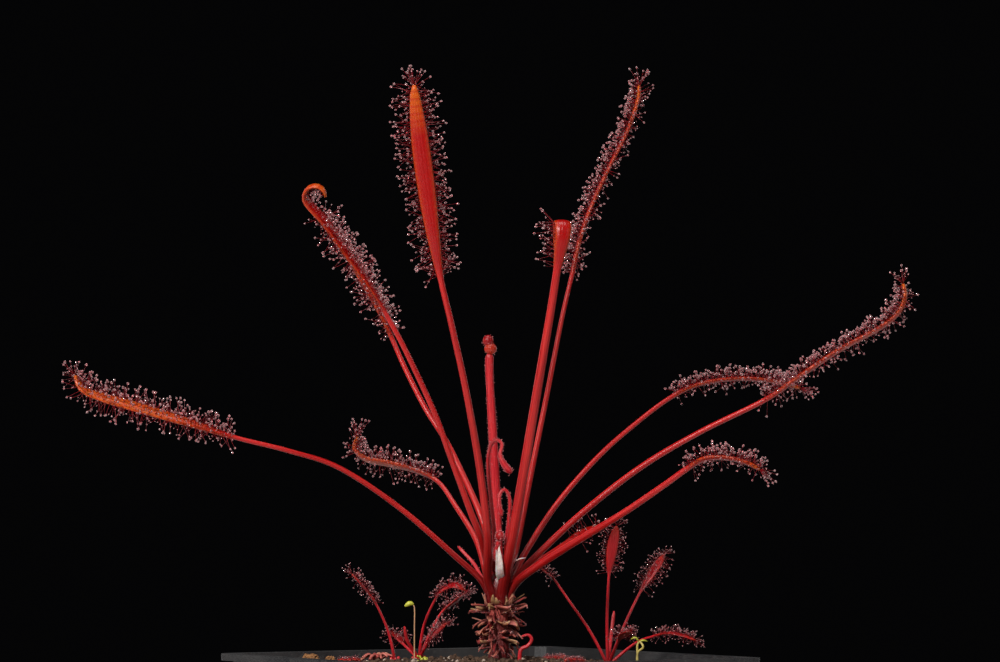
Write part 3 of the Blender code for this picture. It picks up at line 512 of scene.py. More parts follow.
def make_stem():
    bm = bmesh.new()
    levels = [-2.5, 0.0, 1.5, 3.0, 4.5, 6.0, 7.5, STEM_TOP, STEM_TOP + 1.8]
    route = [Vector((PLANT_X + 0.25 * math.sin(z), 0.2 * math.cos(z), RIM + z)) for z in levels]
    widths = [2 * r for r in (1.5, 1.9, 1.75, 1.7, 1.7, 1.8, 1.9, 1.9, 1.8)]
    sweep_into(bm, frames_along(route, Vector((0, -1, 0))), widths, widths, 20, tone=0.15)
    draw = random.Random("dry bases")
    for k in range(FLAP_COUNT):
        height = 1.0 + (STEM_TOP - 1.3) * k / (FLAP_COUNT - 1)
        share = height / STEM_TOP
        azimuth = k * GOLDEN_ANGLE + draw.uniform(-0.3, 0.3)
        wide = draw.choice((0.5, 0.8, 1.2, 1.8)) * (0.6 + 0.5 * share)
        dry_base(bm, draw, height, azimuth, wide, draw.uniform(1.0, 2.6) + 1.7 * share ** 2)
    for k in range(THREAD_COUNT):
        height = STEM_TOP * (0.1 + 0.95 * math.sqrt(k / THREAD_COUNT))
        azimuth = draw.uniform(0, math.tau)
        dry_base(bm, draw, height, azimuth, draw.uniform(0.12, 0.4), draw.uniform(1.5, 4.0))
    for k in range(COLLAR_FLAPS):
        collar_flap(bm, draw, math.tau * (k + draw.uniform(-0.4, 0.4)) / COLLAR_FLAPS)
    drops = bmesh.new()
    bm.verts.ensure_lookup_table()
    for _ in range(DRIED_DROPS):
        place = Matrix.Translation(draw.choice(bm.verts).co)
        bmesh.ops.create_icosphere(drops, subdivisions=1, radius=draw.uniform(0.07, 0.17), matrix=place)
    stem = finish_mesh("stem_skirt", bm, DRY_LEAF)
    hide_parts("stem")
    finish_mesh("stem_dried_glue", drops, GLUE)


make_stem()


# The crown and the leaves
# Each leaf is a fleshy swept body, crimson along its stalk and warmer in its blade, with hundreds of
# dark red tentacles: long ones on its edges, short ones on its face, each ending in a drop of glue.


def make_flesh(name, stalk, stalk_highlight_paint, blade_red, blade_warm):
    """Leaf flesh: its stalk has painted highlight streaks and a painted shaded foot; its blade warms to
    orange at the tip, or all along.
    """
    made, tree, shader = new_material(name, 0.3)
    blade = mark(tree, "blade")
    lines = fibres(tree, 16.0)
    # Painted highlight: lighter salmon streaks along the stalk stand in for its glossy highlights.
    streaked = blend(tree, lines["Streaks"], stalk, stalk_highlight_paint)
    # Painted shade: the stalk's foot by the crown is darkened almost to black-red, standing in for the
    # crown's shadow.
    foot = between(tree, mark(tree, "along"), 0.02, 0.22, 0.92, 0.0)
    stalk_colour = blend(tree, foot, streaked, (0.09, 0.001, 0.002))
    whole = times(tree, mark(tree, "tone"), between(tree, blade, 0.08, 0.5))
    tip = between(tree, blade, 0.74, 1.0, 0.0, 0.8)
    rim = math_node(tree, "POWER", math_node(tree, "ABSOLUTE", mark(tree, "across")), 4.0)
    warm = math_node(tree, "MAXIMUM", math_node(tree, "MAXIMUM", whole, tip), times(tree, rim, 0.35))
    wavering = math_node(tree, "ADD", times(tree, blade, 170.0), grain(tree, 700.0, 4.0))
    bars = between(tree, math_node(tree, "SINE", wavering), 0.0, 1.0, 0.0, 0.45)
    barred = times(tree, warm, math_node(tree, "SUBTRACT", 1.0, bars))
    blade_colour = blend(tree, barred, blade_red, blade_warm)
    colour = blend(tree, between(tree, blade, 0.0, 0.12), stalk_colour, blade_colour)
    paint(tree, shader, colour)
    bump(tree, shader, lines["Height"], 0.00012, 0.8)
    let_light_in(shader, 0.18, (1.0, 0.15, 0.08), 0.0009)
    shader.inputs["Specular IOR Level"].default_value = 0.35
    return made


def make_tentacle_red():
    made, tree, shader = new_material("tentacle_red", 0.3)
    colour = blend(tree, mark(tree, "along"), (0.20, 0.001, 0.004), (0.11, 0.001, 0.008))
    paint(tree, shader, colour)
    let_light_in(shader, 0.2, (1.0, 0.2, 0.1), 0.0004)
    return made


# Each flesh's second colour is the colour of its painted highlight streaks.
FLESH = make_flesh(
    "leaf_flesh", (0.32, 0.001, 0.003), (0.56, 0.022, 0.018), (0.32, 0.002, 0.002), (0.62, 0.12, 0.006),
)
YOUNG_FLESH = make_flesh(
    "young_flesh", (0.36, 0.002, 0.010), (0.58, 0.03, 0.035), (0.30, 0.003, 0.006), (0.48, 0.03, 0.012),
)
TENTACLE_RED = make_tentacle_red()
GLAND_RADII = (0.11, 0.11, 0.16)
DROP_RADII = (0.24, 0.24, 0.28)


def tentacle_templates(length, bend):
    """A bent stalk with its red gland, and the drop round the gland; both stand on the origin."""
    bm = bmesh.new()
    points = [Vector((bend * length * t * t, 0, length * t)) for t in (0, 0.33, 0.66, 1)]
    widths = [0.15, 0.085, 0.065, 0.055]
    sweep_into(bm, frames_along(points, Vector((1, 0, 0))), widths, widths, 4)
    tip = Matrix.Translation(points[-1])
    gland = tip @ Matrix.Diagonal((*GLAND_RADII, 1))
    bmesh.ops.create_icosphere(bm, subdivisions=1, radius=1, matrix=gland)
    stalk = keep_mesh("stalk", bm)
    bm = bmesh.new()
    shape = tip @ Matrix.Diagonal((*DROP_RADII, 1))
    bmesh.ops.create_uvsphere(bm, u_segments=8, v_segments=5, radius=1, matrix=shape)
    return stalk, keep_mesh("drop", bm)


EDGE_TENTACLES = [tentacle_templates(4.1, bend) for bend in (-0.10, 0.04, 0.15)]
MIDDLE_TENTACLES = [tentacle_templates(2.9, bend) for bend in (-0.1, 0.12)]
SHORT_TENTACLES = [tentacle_templates(1.5, bend) for bend in (0.0, 0.1)]
ALL_LANES = (-1.0, -1.0, -0.93, -0.6, -0.2, 0.2, 0.6, 0.93, 1.0, 1.0)
FEW_LANES_SPREAD = 1.6
OUTERMOST_LANE = 0.97
ROOT_DEPTH = 0.8
TIP_TENTACLES = 22
ROLL_BEGINS = 0.66


def stand(root, direction):
    """The matrix that stands a template on a root, along a direction."""
    return Matrix.Translation(root) @ UP.rotation_difference(direction).to_matrix().to_4x4()


def plant_tentacle(stalks, drops, draw, template, root, direction, size):
    """Adds one stalk and its drop."""
    spin = Matrix.Rotation(draw.uniform(0, math.tau), 4, "Z")
    place = stand(root, direction.normalized()) @ spin @ Matrix.Scale(size, 4)
    add_copy(stalks, template[0], place)
    add_copy(drops, template[1], place)


def choose_tentacle(draw, lane, along, across, up):
    """The template, size and direction of a tentacle in a lane from -1 to 1 across the blade."""
    if abs(lane) > 0.9:
        down = math.radians(draw.uniform(-35, 55))
        direction = lane * across * math.cos(down) - up * math.sin(down)
        chosen = draw.choice(EDGE_TENTACLES), draw.uniform(0.28, 0.88)
    elif abs(lane) > 0.4:
        direction = up + across * lane * draw.uniform(0.9, 1.5)
        chosen = draw.choice(MIDDLE_TENTACLES), draw.uniform(0.45, 1.0)
    else:
        direction = up + across * lane * 1.2
        chosen = draw.choice(SHORT_TENTACLES), draw.uniform(0.6, 1.1)
    return *chosen, direction + along * draw.uniform(-0.7, 0.75)


def cover_blade(stalks, drops, draw, blade, scale, spacing, lanes=ALL_LANES, rolled=False):
    """Rows of tentacles across the blade's face, out to its edges and round its tip.

    blade is its (frames, widths, thicknesses). A tip that is rolled up keeps only the short ones,
    inside its roll.
    """
    frames, widths, thick = blade
    length = (frames[1][0] - frames[0][0]).length * (len(frames) - 1)
    rows = max(4, round(length / spacing))
    for row in range(rows):
        for lane in lanes:
            lane += draw.uniform(-0.1, 0.1) if abs(lane) < 1 else 0
            share = min(0.999, max(0.0, (row + draw.uniform(0.1, 0.9)) / rows))
            if rolled and share > ROLL_BEGINS and abs(lane) > 0.4:
                continue
            place_at = share * (len(frames) - 1.001)
            k = int(place_at)
            rest = place_at - k
            point, along, across, up = frames[k]
            half = (widths[k] * (1 - rest) + widths[k + 1] * rest) / 2
            deep = (thick[k] * (1 - rest) + thick[k + 1] * rest) / 2
            template, size, direction = choose_tentacle(draw, lane, along, across, up)
            lane = max(-OUTERMOST_LANE, min(OUTERMOST_LANE, lane))
            root = point.lerp(frames[k + 1][0], rest)
            root += across * lane * half + up * deep * math.sqrt(1 - lane * lane) * ROOT_DEPTH
            plant_tentacle(stalks, drops, draw, template, root, direction, size * scale)
    point, along, across, up = frames[-1]
    for _ in range(TIP_TENTACLES if lanes is ALL_LANES and not rolled else 0):
        direction = along + across * draw.uniform(-1.5, 1.5) + up * draw.uniform(-0.8, 0.6)
        template = draw.choice(EDGE_TENTACLES)
        plant_tentacle(stalks, drops, draw, template, point, direction, scale * draw.uniform(0.3, 0.86))


def curl_points(start, along, up, radius, turn, shrink=0.75, steps=5):
    """Points of a tip that rolls up over its face, in an arc that tightens."""
    points = []
    point = start
    heading = along.normalized()
    axis = heading.cross(up).normalized()
    for k in range(steps):
        angle = turn / steps
        arc = radius * (1 - (1 - shrink) * k / steps) * angle
        heading = Quaternion(axis, angle / 2) @ heading
        point = point + heading * arc
        heading = Quaternion(axis, angle / 2) @ heading
        points.append(point)
    return points


CROWN_MIDDLE = Vector((PLANT_X, 0, 11.6))
CROWN_RADII = Vector((2.1, 2.1, 3.7))
CURL_RADIUS = 2.0
TENTACLE_SPACING = 0.62
ROUTE_STEP = 0.8
STALK_FOOT = 1.12
STALK_NECK = 0.74
STALK_FLATNESS = 0.88
BLADE_THICKNESS = 0.85
SHEATH_FOOT = 8.2
SHEATH_REACH = 1.35


def seat(azimuth, elevation, lift):
    """A point over the crown's surface, and the way out of it."""
    a = math.radians(azimuth)
    e = math.radians(elevation)
    out = Vector((math.cos(a) * math.cos(e), math.sin(a) * math.cos(e), math.sin(e)))
    return CROWN_MIDDLE + out * CROWN_RADII + out * lift, out


def lifted(points):
    """Heights above the rim become heights in the part."""
    return [Vector((x, y, z + RIM)) for x, y, z in points]


def leaf_sizes(shares, begin, stalk_width, blade_width):
    """Widths, thicknesses and the blade mark along one leaf, whose blade begins at a share of it."""
    widths, thick, blade = [], [], []
    for share in shares:
        if share <= begin:
            stalk = stalk_width * (STALK_FOOT + (STALK_NECK - STALK_FOOT) * share / begin)
            widths.append(stalk)
            thick.append(stalk * STALK_FLATNESS)
            blade.append(0.0)
        else:
            along = (share - begin) / (1 - begin)
            stalk = stalk_width * STALK_NECK
            swell = math.sin(math.pi * min(1.0, along * 1.7) / 2)
            taper = 1 - 0.62 * max(0.0, (along - 0.62) / 0.38) ** 2
            widths.append((stalk + (blade_width - stalk) * swell) * taper)
            thick.append(min(BLADE_THICKNESS, stalk) - 0.15 * along)
            blade.append(0.02 + 0.98 * along)
    for k, shrink in ((-1, 0.45), (-2, 0.82)):
        widths[k] *= shrink
        thick[k] *= 0.5 + 0.5 * shrink
    return widths, thick, blade


def build_leaf(leaf, start, draw, meshes, scale, spacing, step):
    """Adds one leaf to the three meshes: body, tentacles and glue; its petiole follows the start."""
    bodies, stalks, drops = meshes
    petiole = lifted([*start, *leaf["petiole"]])
    blade = lifted(leaf["blade"])
    face = Vector(leaf["face"])
    curl = math.radians(leaf.get("curl", 0))
    if curl:
        blade += curl_points(blade[-1], blade[-1] - blade[-2], face, CURL_RADIUS, curl)
    frames = frames_along(smooth_route(petiole + blade, step), face)
    stalk_length = sum((b - a).length for a, b in zip(petiole, petiole[1:]))
    total = stalk_length + sum((b - a).length for a, b in zip([petiole[-1], *blade], blade))
    begin = stalk_length / total if blade else 2.0
    shares = [k / (len(frames) - 1) for k in range(len(frames))]
    widths, thick, marks = leaf_sizes(shares, begin, leaf["stalk"], leaf["wide"])
    sweep_into(bodies, frames, widths, thick, 12, tone=leaf.get("warm", 0.0), blade=marks)
    if blade:
        first = next(k for k, share in enumerate(shares) if share > begin)
        lanes = leaf.get("lanes", ALL_LANES)
        cover = frames[first:], widths[first:], thick[first:]
        spread = 1 if lanes is ALL_LANES else FEW_LANES_SPREAD
        cover_blade(stalks, drops, draw, cover, scale, spacing * spread, lanes, curl > 0)


LEAVES = {
    "leaf_far_left": {
        "seat": (190, 20), "face": (0.1, -0.15, 1), "stalk": 1.1, "wide": 3.0, "warm": 0.55,
        "petiole": [
            (-4.7, -1, 16.6), (-15.1, -4, 25.7), (-25.4, -8, 32.6), (-33.9, -11, 35.5), (-43.1, -13, 37.8),
        ],
        "blade": [
            (-50.9, -15, 40.3), (-59.3, -16, 42.8), (-66.3, -17, 44.8), (-69.0, -17.3, 46.0),
            (-70.4, -17, 48.3),
        ],
    },
    "leaf_left_hooked": {
        "seat": (130, 24), "face": (0.1, 0.1, 1), "stalk": 1.2, "wide": 2.6, "warm": 0.35,
        "petiole": [(-1.9, 6, 20.1), (-5.7, 11, 26.3), (-8.7, 14, 30.4)],
        "blade": [
            (-12.9, 16, 32.5), (-18.3, 18, 33.8), (-21.7, 19, 34.5), (-23.8, 20, 36.3), (-23.3, 21, 38.5),
        ],
    },
    "leaf_left_tall": {
        "seat": (190, 55), "face": (0.8, -0.35, 0.4), "stalk": 1.25, "wide": 3.0, "curl": 230,
        "petiole": [
            (-1.2, -3, 21.0), (-2.8, -4, 25.0), (-6.4, -6, 34.9), (-9.3, -8, 42.7), (-14.1, -10, 53.0),
            (-17.6, -11, 59.5),
        ],
        "blade": [(-20.6, -12, 64.6), (-24.4, -13, 70.0), (-27.8, -14, 74.8), (-30.7, -15, 78.0)],
    },
    "leaf_left_behind": {
        "seat": (132, 55), "face": (0.8, -0.4, 0.4), "stalk": 1.3, "wide": 3.0,
        "petiole": [
            (0.0, 7, 20.9), (-1.6, 9, 25.7), (-4.5, 13, 32.1), (-7.3, 16, 37.7), (-11.1, 19, 43.7),
            (-14.8, 21, 51.0), (-17.0, 22, 56.0),
        ],
        "blade": [(-19.3, 23, 61.1), (-22.6, 23, 66.9), (-25.7, 23, 72.3), (-28.0, 22, 75.9)],
    },
    "leaf_upright_left": {
        "seat": (232, 24), "face": (0.05, 1, 0.1), "stalk": 1.35, "wide": 3.1,
        "petiole": [
            (0.1, -6.5, 21.0), (-1.2, -10, 32.3), (-3.6, -16, 45.9), (-6.0, -20, 56.8), (-7.8, -22, 64.4),
        ],
        "blade": [
            (-9.1, -24, 71.9), (-10.3, -25, 80.2), (-11.3, -26, 87.7), (-12.0, -26.5, 93.6),
            (-12.3, -27, 97.1),
        ],
    },
    "leaf_folded": {
        "seat": (288, 24), "face": (-0.1, 1, 0.1), "stalk": 1.75, "wide": 2.9, "lanes": (0.85, 1.0, 1.0),
        "petiole": [
            (4.2, -6, 19.3), (6.4, -11, 32.3), (9.2, -17, 49.3), (10.9, -20, 59.4), (11.9, -21.8, 66.0),
        ],
        "blade": [
            (12.5, -22.6, 69.5), (12.9, -23, 71.8), (13.0, -22.6, 73.8), (12.7, -20.6, 74.3),
            (12.6, -19.6, 72.2), (12.3, -19.5, 69.8), (12.1, -19.8, 68.4),
        ],
    },
    "leaf_upright_right": {
        "seat": (25, 52), "face": (-0.9, -0.1, 0.3), "stalk": 1.2, "wide": 2.8,
        "petiole": [(5.1, 4, 18.3), (7.6, 9, 30.7), (10.9, 14, 46.8), (13.4, 17, 59.4), (15.3, 18.5, 67.6)],
        "blade": [
            (16.7, 19.5, 73.9), (18.9, 20.5, 80.3), (22.2, 21, 87.5), (25.4, 21.5, 93.9), (27.3, 22, 99.4),
            (27.6, 22.5, 102.3),
        ],
    },
    "leaf_right_upper": {
        "seat": (42, 24), "face": (-0.1, 0, 1), "stalk": 1.2, "wide": 2.8,
        "petiole": [(7.6, 8, 19.2), (13.0, 13, 27.1), (20.3, 19, 35.2), (27.7, 24, 41.6), (33.6, 27, 45.9)],
        "blade": [(38.8, 29, 48.3), (45.3, 31, 49.3), (51.8, 32, 49.0), (57.4, 33, 47.7)],
    },
    "leaf_right_long": {
        "seat": (2, 24), "face": (-0.4, 0.1, 0.9), "stalk": 1.3, "wide": 2.9, "warm": 0.2,
        "petiole": [(7.9, 0, 16.6), (16.2, -2, 24.5), (26.6, -4, 32.7), (37.0, -6, 38.9), (48.1, -8, 44.4)],
        "blade": [
            (54.1, -9, 48.5), (60.9, -10, 53.0), (67.7, -11, 56.7), (70.9, -11.5, 59.3), (72.1, -12, 62.2),
            (71.7, -12, 64.3),
        ],
    },
    "leaf_right_low": {
        "seat": (328, 12), "face": (-0.1, 0.1, 1), "stalk": 1.5, "wide": 2.9,
        "petiole": [
            (7.5, -5, 14.8), (14.3, -9, 19.3), (22.8, -14, 24.5), (29.5, -17, 29.1), (34.2, -19, 32.5),
        ],
        "blade": [(37.1, -20, 34.1), (40.8, -21, 34.2), (44.0, -21.8, 33.4), (46.2, -22.4, 32.3)],
    },
    "leaf_right_small": {
        "seat": (76, 20), "face": (0, 0, 1), "stalk": 1.0, "wide": 2.2, "lanes": (-1.0, -0.5, 0.3, 1.0),
        "petiole": [(10.3, 9, 17.2), (14.5, 14, 19.8)],
        "blade": [(17.6, 17, 21.4), (20.7, 19, 22.5)],
    },
}


def finish_leaf(name, bodies, stalks, drops, flesh, slot):
    """The three meshes of a leaf become three pieces, and the solid leaf is hidden."""
    body = finish_mesh(name + "_body", bodies, flesh)
    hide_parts(name)
    if stalks.verts:
        finish_mesh(name + "_tentacles", stalks, TENTACLE_RED)
        finish_mesh(name + "_glue", drops, GLUE)
    else:
        stalks.free()
        drops.free()


def make_main_leaves():
    for name, leaf in LEAVES.items():
        base, out = seat(*leaf["seat"], 0.0)
        away = Vector((out.x, out.y, 0)).normalized()
        foot = Vector((PLANT_X, 0, SHEATH_FOOT)) + away * SHEATH_REACH
        start = [foot, foot * 0.45 + base * 0.55 + away * 0.25, base + out * 1.5]
        meshes = bmesh.new(), bmesh.new(), bmesh.new()
        build_leaf(leaf, start, random.Random(name), meshes, 1.0, TENTACLE_SPACING, ROUTE_STEP)
        finish_leaf(name, *meshes, FLESH, "leaf_red")


def make_crown():
    bm = bmesh.new()
    mark_layers(bm)
    bmesh.ops.create_uvsphere(bm, u_segments=32, v_segments=20, radius=1)
    bmesh.ops.scale(bm, vec=CROWN_RADII, verts=bm.verts)
    bmesh.ops.translate(bm, vec=CROWN_MIDDLE + Vector((0, 0, RIM)), verts=bm.verts)
    # Its marks stay at zero, so the whole crown takes the painted shade of a stalk's foot: a near-black red
    # that stands in for its shadow.
    crown = finish_mesh("crown_heart", bm, FLESH)
    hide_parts("crown")


make_crown()
make_main_leaves()


# Young leaves
# A rolled leaf in the middle, a crook, a hairpin, a bud and a cut stub: crimson, with rolled heads,
# and with fine pale hairs instead of tentacles.

YOUNG_LEAVES = {
    "leaf_centre": {
        "seat": (80, 80), "face": (0, -1, 0), "width": 1.7, "head": 1.5, "hairs": 9,
        "route": [(1.9, 1.6, 18.4), (1.6, 2, 27.1), (1.1, 1.5, 37.6), (0.5, 1, 48.2), (0.45, 0.8, 52.9)],
        "balls": [
            ((0.64, 0.6, 53.6), (1.1, 1.0, 1.0), 1.0, 30), ((0.22, 0.7, 55.0), (0.95, 0.9, 1.05), 0.0, 40),
        ],
    },
    "leaf_crook": {
        "seat": (245, 52), "face": (1, 0, 0), "width": 0.85, "head": 1.5, "hairs": 12,
        "route": [
            (1.5, -4.3, 19.3), (0.7, -5.8, 27.1), (0.2, -6.5, 33.2), (0.6, -6.5, 36.3), (1.6, -6.5, 37.5),
            (2.6, -6.5, 36.8), (2.3, -6.5, 35.0), (2.75, -6.5, 33.7), (3.6, -6.5, 32.5), (4.3, -6.5, 31.8),
        ],
    },
    "leaf_hairpin": {
        "seat": (330, 50), "face": (-1, 0, 0), "width": 0.8, "head": 0.9, "hairs": 12,
        "route": [
            (3.3, -4.0, 18.4), (3.8, -5, 23.6), (4.0, -5.4, 27.1), (3.2, -5.4, 28.9), (2.3, -5.6, 28.2),
            (2.2, -5.8, 26.4), (2.6, -6, 24.3),
        ],
    },
    "leaf_bud": {
        "seat": (285, 52), "face": (0, -1, 0), "width": 0.9, "head": 1.0, "hairs": 16,
        "route": [(1.5, -4.9, 17.4), (2.1, -6.5, 20.2)],
        "balls": [((2.28, -6.9, 20.9), (0.8, 0.75, 0.85), 0.0, 110)],
    },
    "leaf_stub": {
        "seat": (160, 22), "face": (0, 0, 1), "width": 0.8, "head": 0.6, "hairs": 2,
        "route": [(-2.3, 3, 16.0), (-5.1, 5, 19.0)],
    },
}

YOUNG_FLATNESS = 0.85


def make_pale_hairs():
    made, tree, shader = new_material("pale_hairs", 0.25)
    tint = blend(tree, grain(tree, 800.0, 2.0), (0.50, 0.05, 0.07), (0.78, 0.42, 0.42))
    paint(tree, shader, tint)
    let_light_in(shader, 0.3, (0.6, 0.3, 0.3), 0.0003)
    return made


def hair_template():
    """A fine hair with a round end, 0.2 mm long, standing on the origin."""
    bm = bmesh.new()
    shaft, end = (Matrix.Translation((0, 0, height)) for height in (0.06, 0.16))
    bmesh.ops.create_cone(bm, cap_ends=True, segments=3, radius1=0.03, radius2=0.02, depth=0.2, matrix=shaft)
    bmesh.ops.create_icosphere(bm, subdivisions=1, radius=0.05, matrix=end)
    return keep_mesh("hair", bm)


HAIR = hair_template()
PALE_HAIRS = make_pale_hairs()


def plant_hair(hairs, draw, root, out):
    add_copy(hairs, HAIR, stand(root, out) @ Matrix.Scale(draw.uniform(0.6, 1.25), 4))


def add_hairs(hairs, draw, frames, widths, thick, per_mm):
    """Hairs all round a young stalk, more of them towards its top."""
    length = (frames[1][0] - frames[0][0]).length * (len(frames) - 1)
    for _ in range(round(length * per_mm)):
        k = min(len(frames) - 2, int(draw.random() ** 0.7 * (len(frames) - 1)))
        point, along, across, up = frames[k]
        angle = draw.uniform(0, math.tau)
        out = across * math.cos(angle) + up * math.sin(angle)
        root = point + across * math.cos(angle) * widths[k] / 2 + up * math.sin(angle) * thick[k] / 2
        plant_hair(hairs, draw, root + along * draw.uniform(0, 0.4), out)


def add_ball(bodies, hairs, draw, middle, radii, warm, hair_count):
    """One lobe of a rolled head, with hairs all over it."""
    marks = mark_layers(bodies)
    shape = Matrix.Translation(middle) @ Matrix.Diagonal((*radii, 1))
    for vert in bmesh.ops.create_icosphere(bodies, subdivisions=4, radius=1, matrix=shape)["verts"]:
        away = vert.co - middle
        set_marks(vert, marks, away.z / radii[2], away.x / radii[0], away.y / radii[1], warm, 0.7)
    for _ in range(hair_count):
        out = Vector([draw.gauss(0, 1) for _ in range(3)]).normalized()
        plant_hair(hairs, draw, middle + out * Vector(radii), out)


def young_widths(width, head, count):
    """A stalk that narrows towards its top, a head of its own width, and a round end."""
    widths = []
    for k in range(count + 1):
        share = k / count
        stalk = width * (1.12 - 0.38 * share)
        in_head = max(0.0, (share - 0.86) / 0.14)
        widths.append(stalk + (head - stalk) * math.sin(math.pi * in_head / 2))
    for k, shrink in ((-1, 0.4), (-2, 0.8)):
        widths[k] *= shrink
    return widths


def make_young_leaves():
    for name, leaf in YOUNG_LEAVES.items():
        root, _ = seat(*leaf["seat"], -1.0)
        base, out = seat(*leaf["seat"], 0.3)
        route = lifted([root, base, base + out * 1.0, *leaf["route"]])
        frames = frames_along(smooth_route(route, 0.4), Vector(leaf["face"]))
        widths = young_widths(leaf["width"], leaf["head"], len(frames) - 1)
        thick = [YOUNG_FLATNESS * w for w in widths]
        draw = random.Random(name)
        bodies, hairs = bmesh.new(), bmesh.new()
        sweep_into(bodies, frames, widths, thick, 14)
        add_hairs(hairs, draw, frames, widths, thick, leaf["hairs"])
        for middle, radii, warm, hair_count in leaf.get("balls", ()):
            add_ball(bodies, hairs, draw, lifted([middle])[0], radii, warm, hair_count)
        body = finish_mesh(name + "_body", bodies, YOUNG_FLESH)
        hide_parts(name)
        finish_mesh(name + "_hairs", hairs, PALE_HAIRS)


make_young_leaves()


# The papery scale
# A pale, dry, split scale at the foot of the young leaves, and a flake of it on the next stalk.


def tube_into(bm, points, widths, flatness, face, step=0.3, tone=0.0):
    """Sweeps a piece whose listed widths are spread along it, through heights above the rim."""
    def shape_at(share):
        place_at = share * (len(widths) - 1.001)
        low = int(place_at)
        width = widths[low] + (widths[low + 1] - widths[low]) * (place_at - low)
        return width, width * flatness

    sweep_shape(bm, lifted(points), step, Vector(face), shape_at, 12, tone=tone)


def make_scale():
    root, _ = seat(275, 22, -0.8)
    base, out = seat(275, 22, 0.3)
    bm = bmesh.new()
    blade = [root, base, base + out * 0.8, (2.2, -5.2, 15.2), (2.1, -6.2, 19.2)]
    tube_into(bm, blade, [0.6, 1.1, 1.5, 1.45, 1.3, 0.8, 0.15], 0.3, (0, -1, 0))
    split = [base + out * 0.8, (1.9, -5.3, 15.6), (1.6, -6.3, 18.5)]
    tube_into(bm, split, [0.7, 0.8, 0.6, 0.1], 0.3, (0.3, -1, 0))
    flake = [(4.9, -4.4, 16.5), (5.8, -4.9, 16.9), (6.8, -5.0, 17.1)]
    tube_into(bm, flake, [0.3, 0.9, 0.25], 0.3, (0, 0, 1))
    paper = make_mottled("papery", (0.58, 0.36, 0.32), (0.88, 0.78, 0.74), 900.0, 0.0001, 0.6, 0.4)
    made = finish_mesh("stipule_shape", bm, paper)
    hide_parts("stipule")


make_scale()


# The clumps of seedlings
# The same leaves at half size: a few seedlings from one root at the left edge, in the soil on the
# left and on the right, with small pointed scales round each root.
# Each leaf is its (face, petiole, blade).

PLANTLETS = {
    "plantlet_left_edge": [
        ((0.8, 0, 0.6), [(-17.5, 9, 4.1), (-19.5, 8, 8.7)],
         [(-21.1, 8, 11.0), (-22.6, 7, 12.8), (-23.8, 6.5, 14.1)]),
    ],
    "plantlet_left": [
        ((-0.6, 0, 0.8), [(-11.1, 7.5, 5.0), (-9.0, 6, 9.8)],
         [(-7.4, 5, 11.6), (-5.5, 4, 12.2), (-3.9, 3.5, 11.3)]),
        ((-0.5, 0, 0.8), [(-9.4, 12, 4.9), (-7.9, 14, 7.3)],
         [(-6.3, 15, 8.6), (-4.7, 15.5, 9.8), (-3.6, 16, 10.7)]),
        ((-0.5, 0, 0.8), [(-10.2, 4, 2.3)], [(-9.3, 2, 3.6), (-8.0, 0, 4.8), (-7.0, -1, 5.6)]),
        ((0, -1, 0), [(-14.0, 6, 2.4), (-14.5, 5, 4.9)], []),
        ((0, 0, 1), [(-14.8, 11, 1.6)], [(-15.7, 12.5, 2.7), (-16.8, 14, 3.6)]),
    ],
    "plantlet_right": [
        ((0, 1, 0.1), [(21.2, 7, 5.9), (21.5, 5.5, 13.9)],
         [(22.0, 5, 18.3), (22.5, 4.6, 21.0), (22.9, 4.4, 22.6)]),
        ((-0.5, -0.7, 0.3), [(24.6, 12, 5.3), (27.3, 14, 10.7)],
         [(29.3, 15, 13.9), (30.8, 15.6, 16.1), (31.7, 16, 17.5)]),
        ((0.3, 0, 1), [(18.2, 8, 4.0), (14.7, 7, 9.1), (11.9, 6.4, 13.1)],
         [(10.9, 6, 14.0), (9.8, 5.6, 14.9)]),
        ((0, 0, 1), [(26.2, 7, 1.9), (29.3, 5, 3.2)], [(31.9, 4, 3.8), (34.4, 3, 3.4), (36.5, 2, 2.6)]),
        ((0, -1, 0), [(22.1, 11, 3.6), (22.6, 12, 7.4)], []),
        ((0, 0, 1), [(23.1, 1.5, 2.6)], [(23.9, -1, 3.6), (24.9, -3, 4.4)]),
    ],
}

SEEDLING_SIZES = {"stalk": 0.62, "wide": 1.9}
SEEDLING_SCALE = 0.6
SEEDLING_SPACING = 0.5
SEEDLING_STEP = 0.5
BASE_SCALES = 9


def add_base_scales(bodies, draw, foot, spread):
    for k in range(BASE_SCALES):
        out = outward(k * GOLDEN_ANGLE)
        tip = foot + out * (spread * 0.9 + 0.3) + UP * (1.2 + 0.5 * draw.random())
        points = [foot, (foot + tip) / 2 + out * 0.25, tip]
        sweep_shape(bodies, points, 0.4, UP, lambda along: (0.8 * (1 - 0.7 * along ** 2), 0.4))


def make_plantlet(name, x, y, spread):
    ground = soil_at(x + 2.0, y + 2.0) - RIM
    meshes = bmesh.new(), bmesh.new(), bmesh.new()
    draw = random.Random(name)
    for face, petiole, blade in PLANTLETS[name]:
        leaf = {**SEEDLING_SIZES, "face": face, "petiole": petiole, "blade": blade}
        start = [(x, y, ground - 0.9), Vector((x, y, ground + 0.2)).lerp(Vector(petiole[0]), 0.12)]
        build_leaf(leaf, start, draw, meshes, SEEDLING_SCALE, SEEDLING_SPACING, SEEDLING_STEP)
    add_base_scales(meshes[0], draw, Vector((x, y, RIM + ground - 0.6)), spread)
    finish_leaf(name, *meshes, YOUNG_FLESH, "leaf_red")


make_plantlet("plantlet_left_edge", -16.2, 9, 0.5)
make_plantlet("plantlet_left", -12.0, 8, 1.0)
make_plantlet("plantlet_right", 21.4, 8, 1.1)


# What else grows in the soil
# A hooked shoot, a moss capsule on its thin stalk, a yellow-green sprout, and low fuzzy rosettes;
# one rosette is old, dry and brown.

MOSS_CRUMBS = 26
TUFT_TENTACLE_SCALE = 0.26
TUFT_SPACING = 0.7


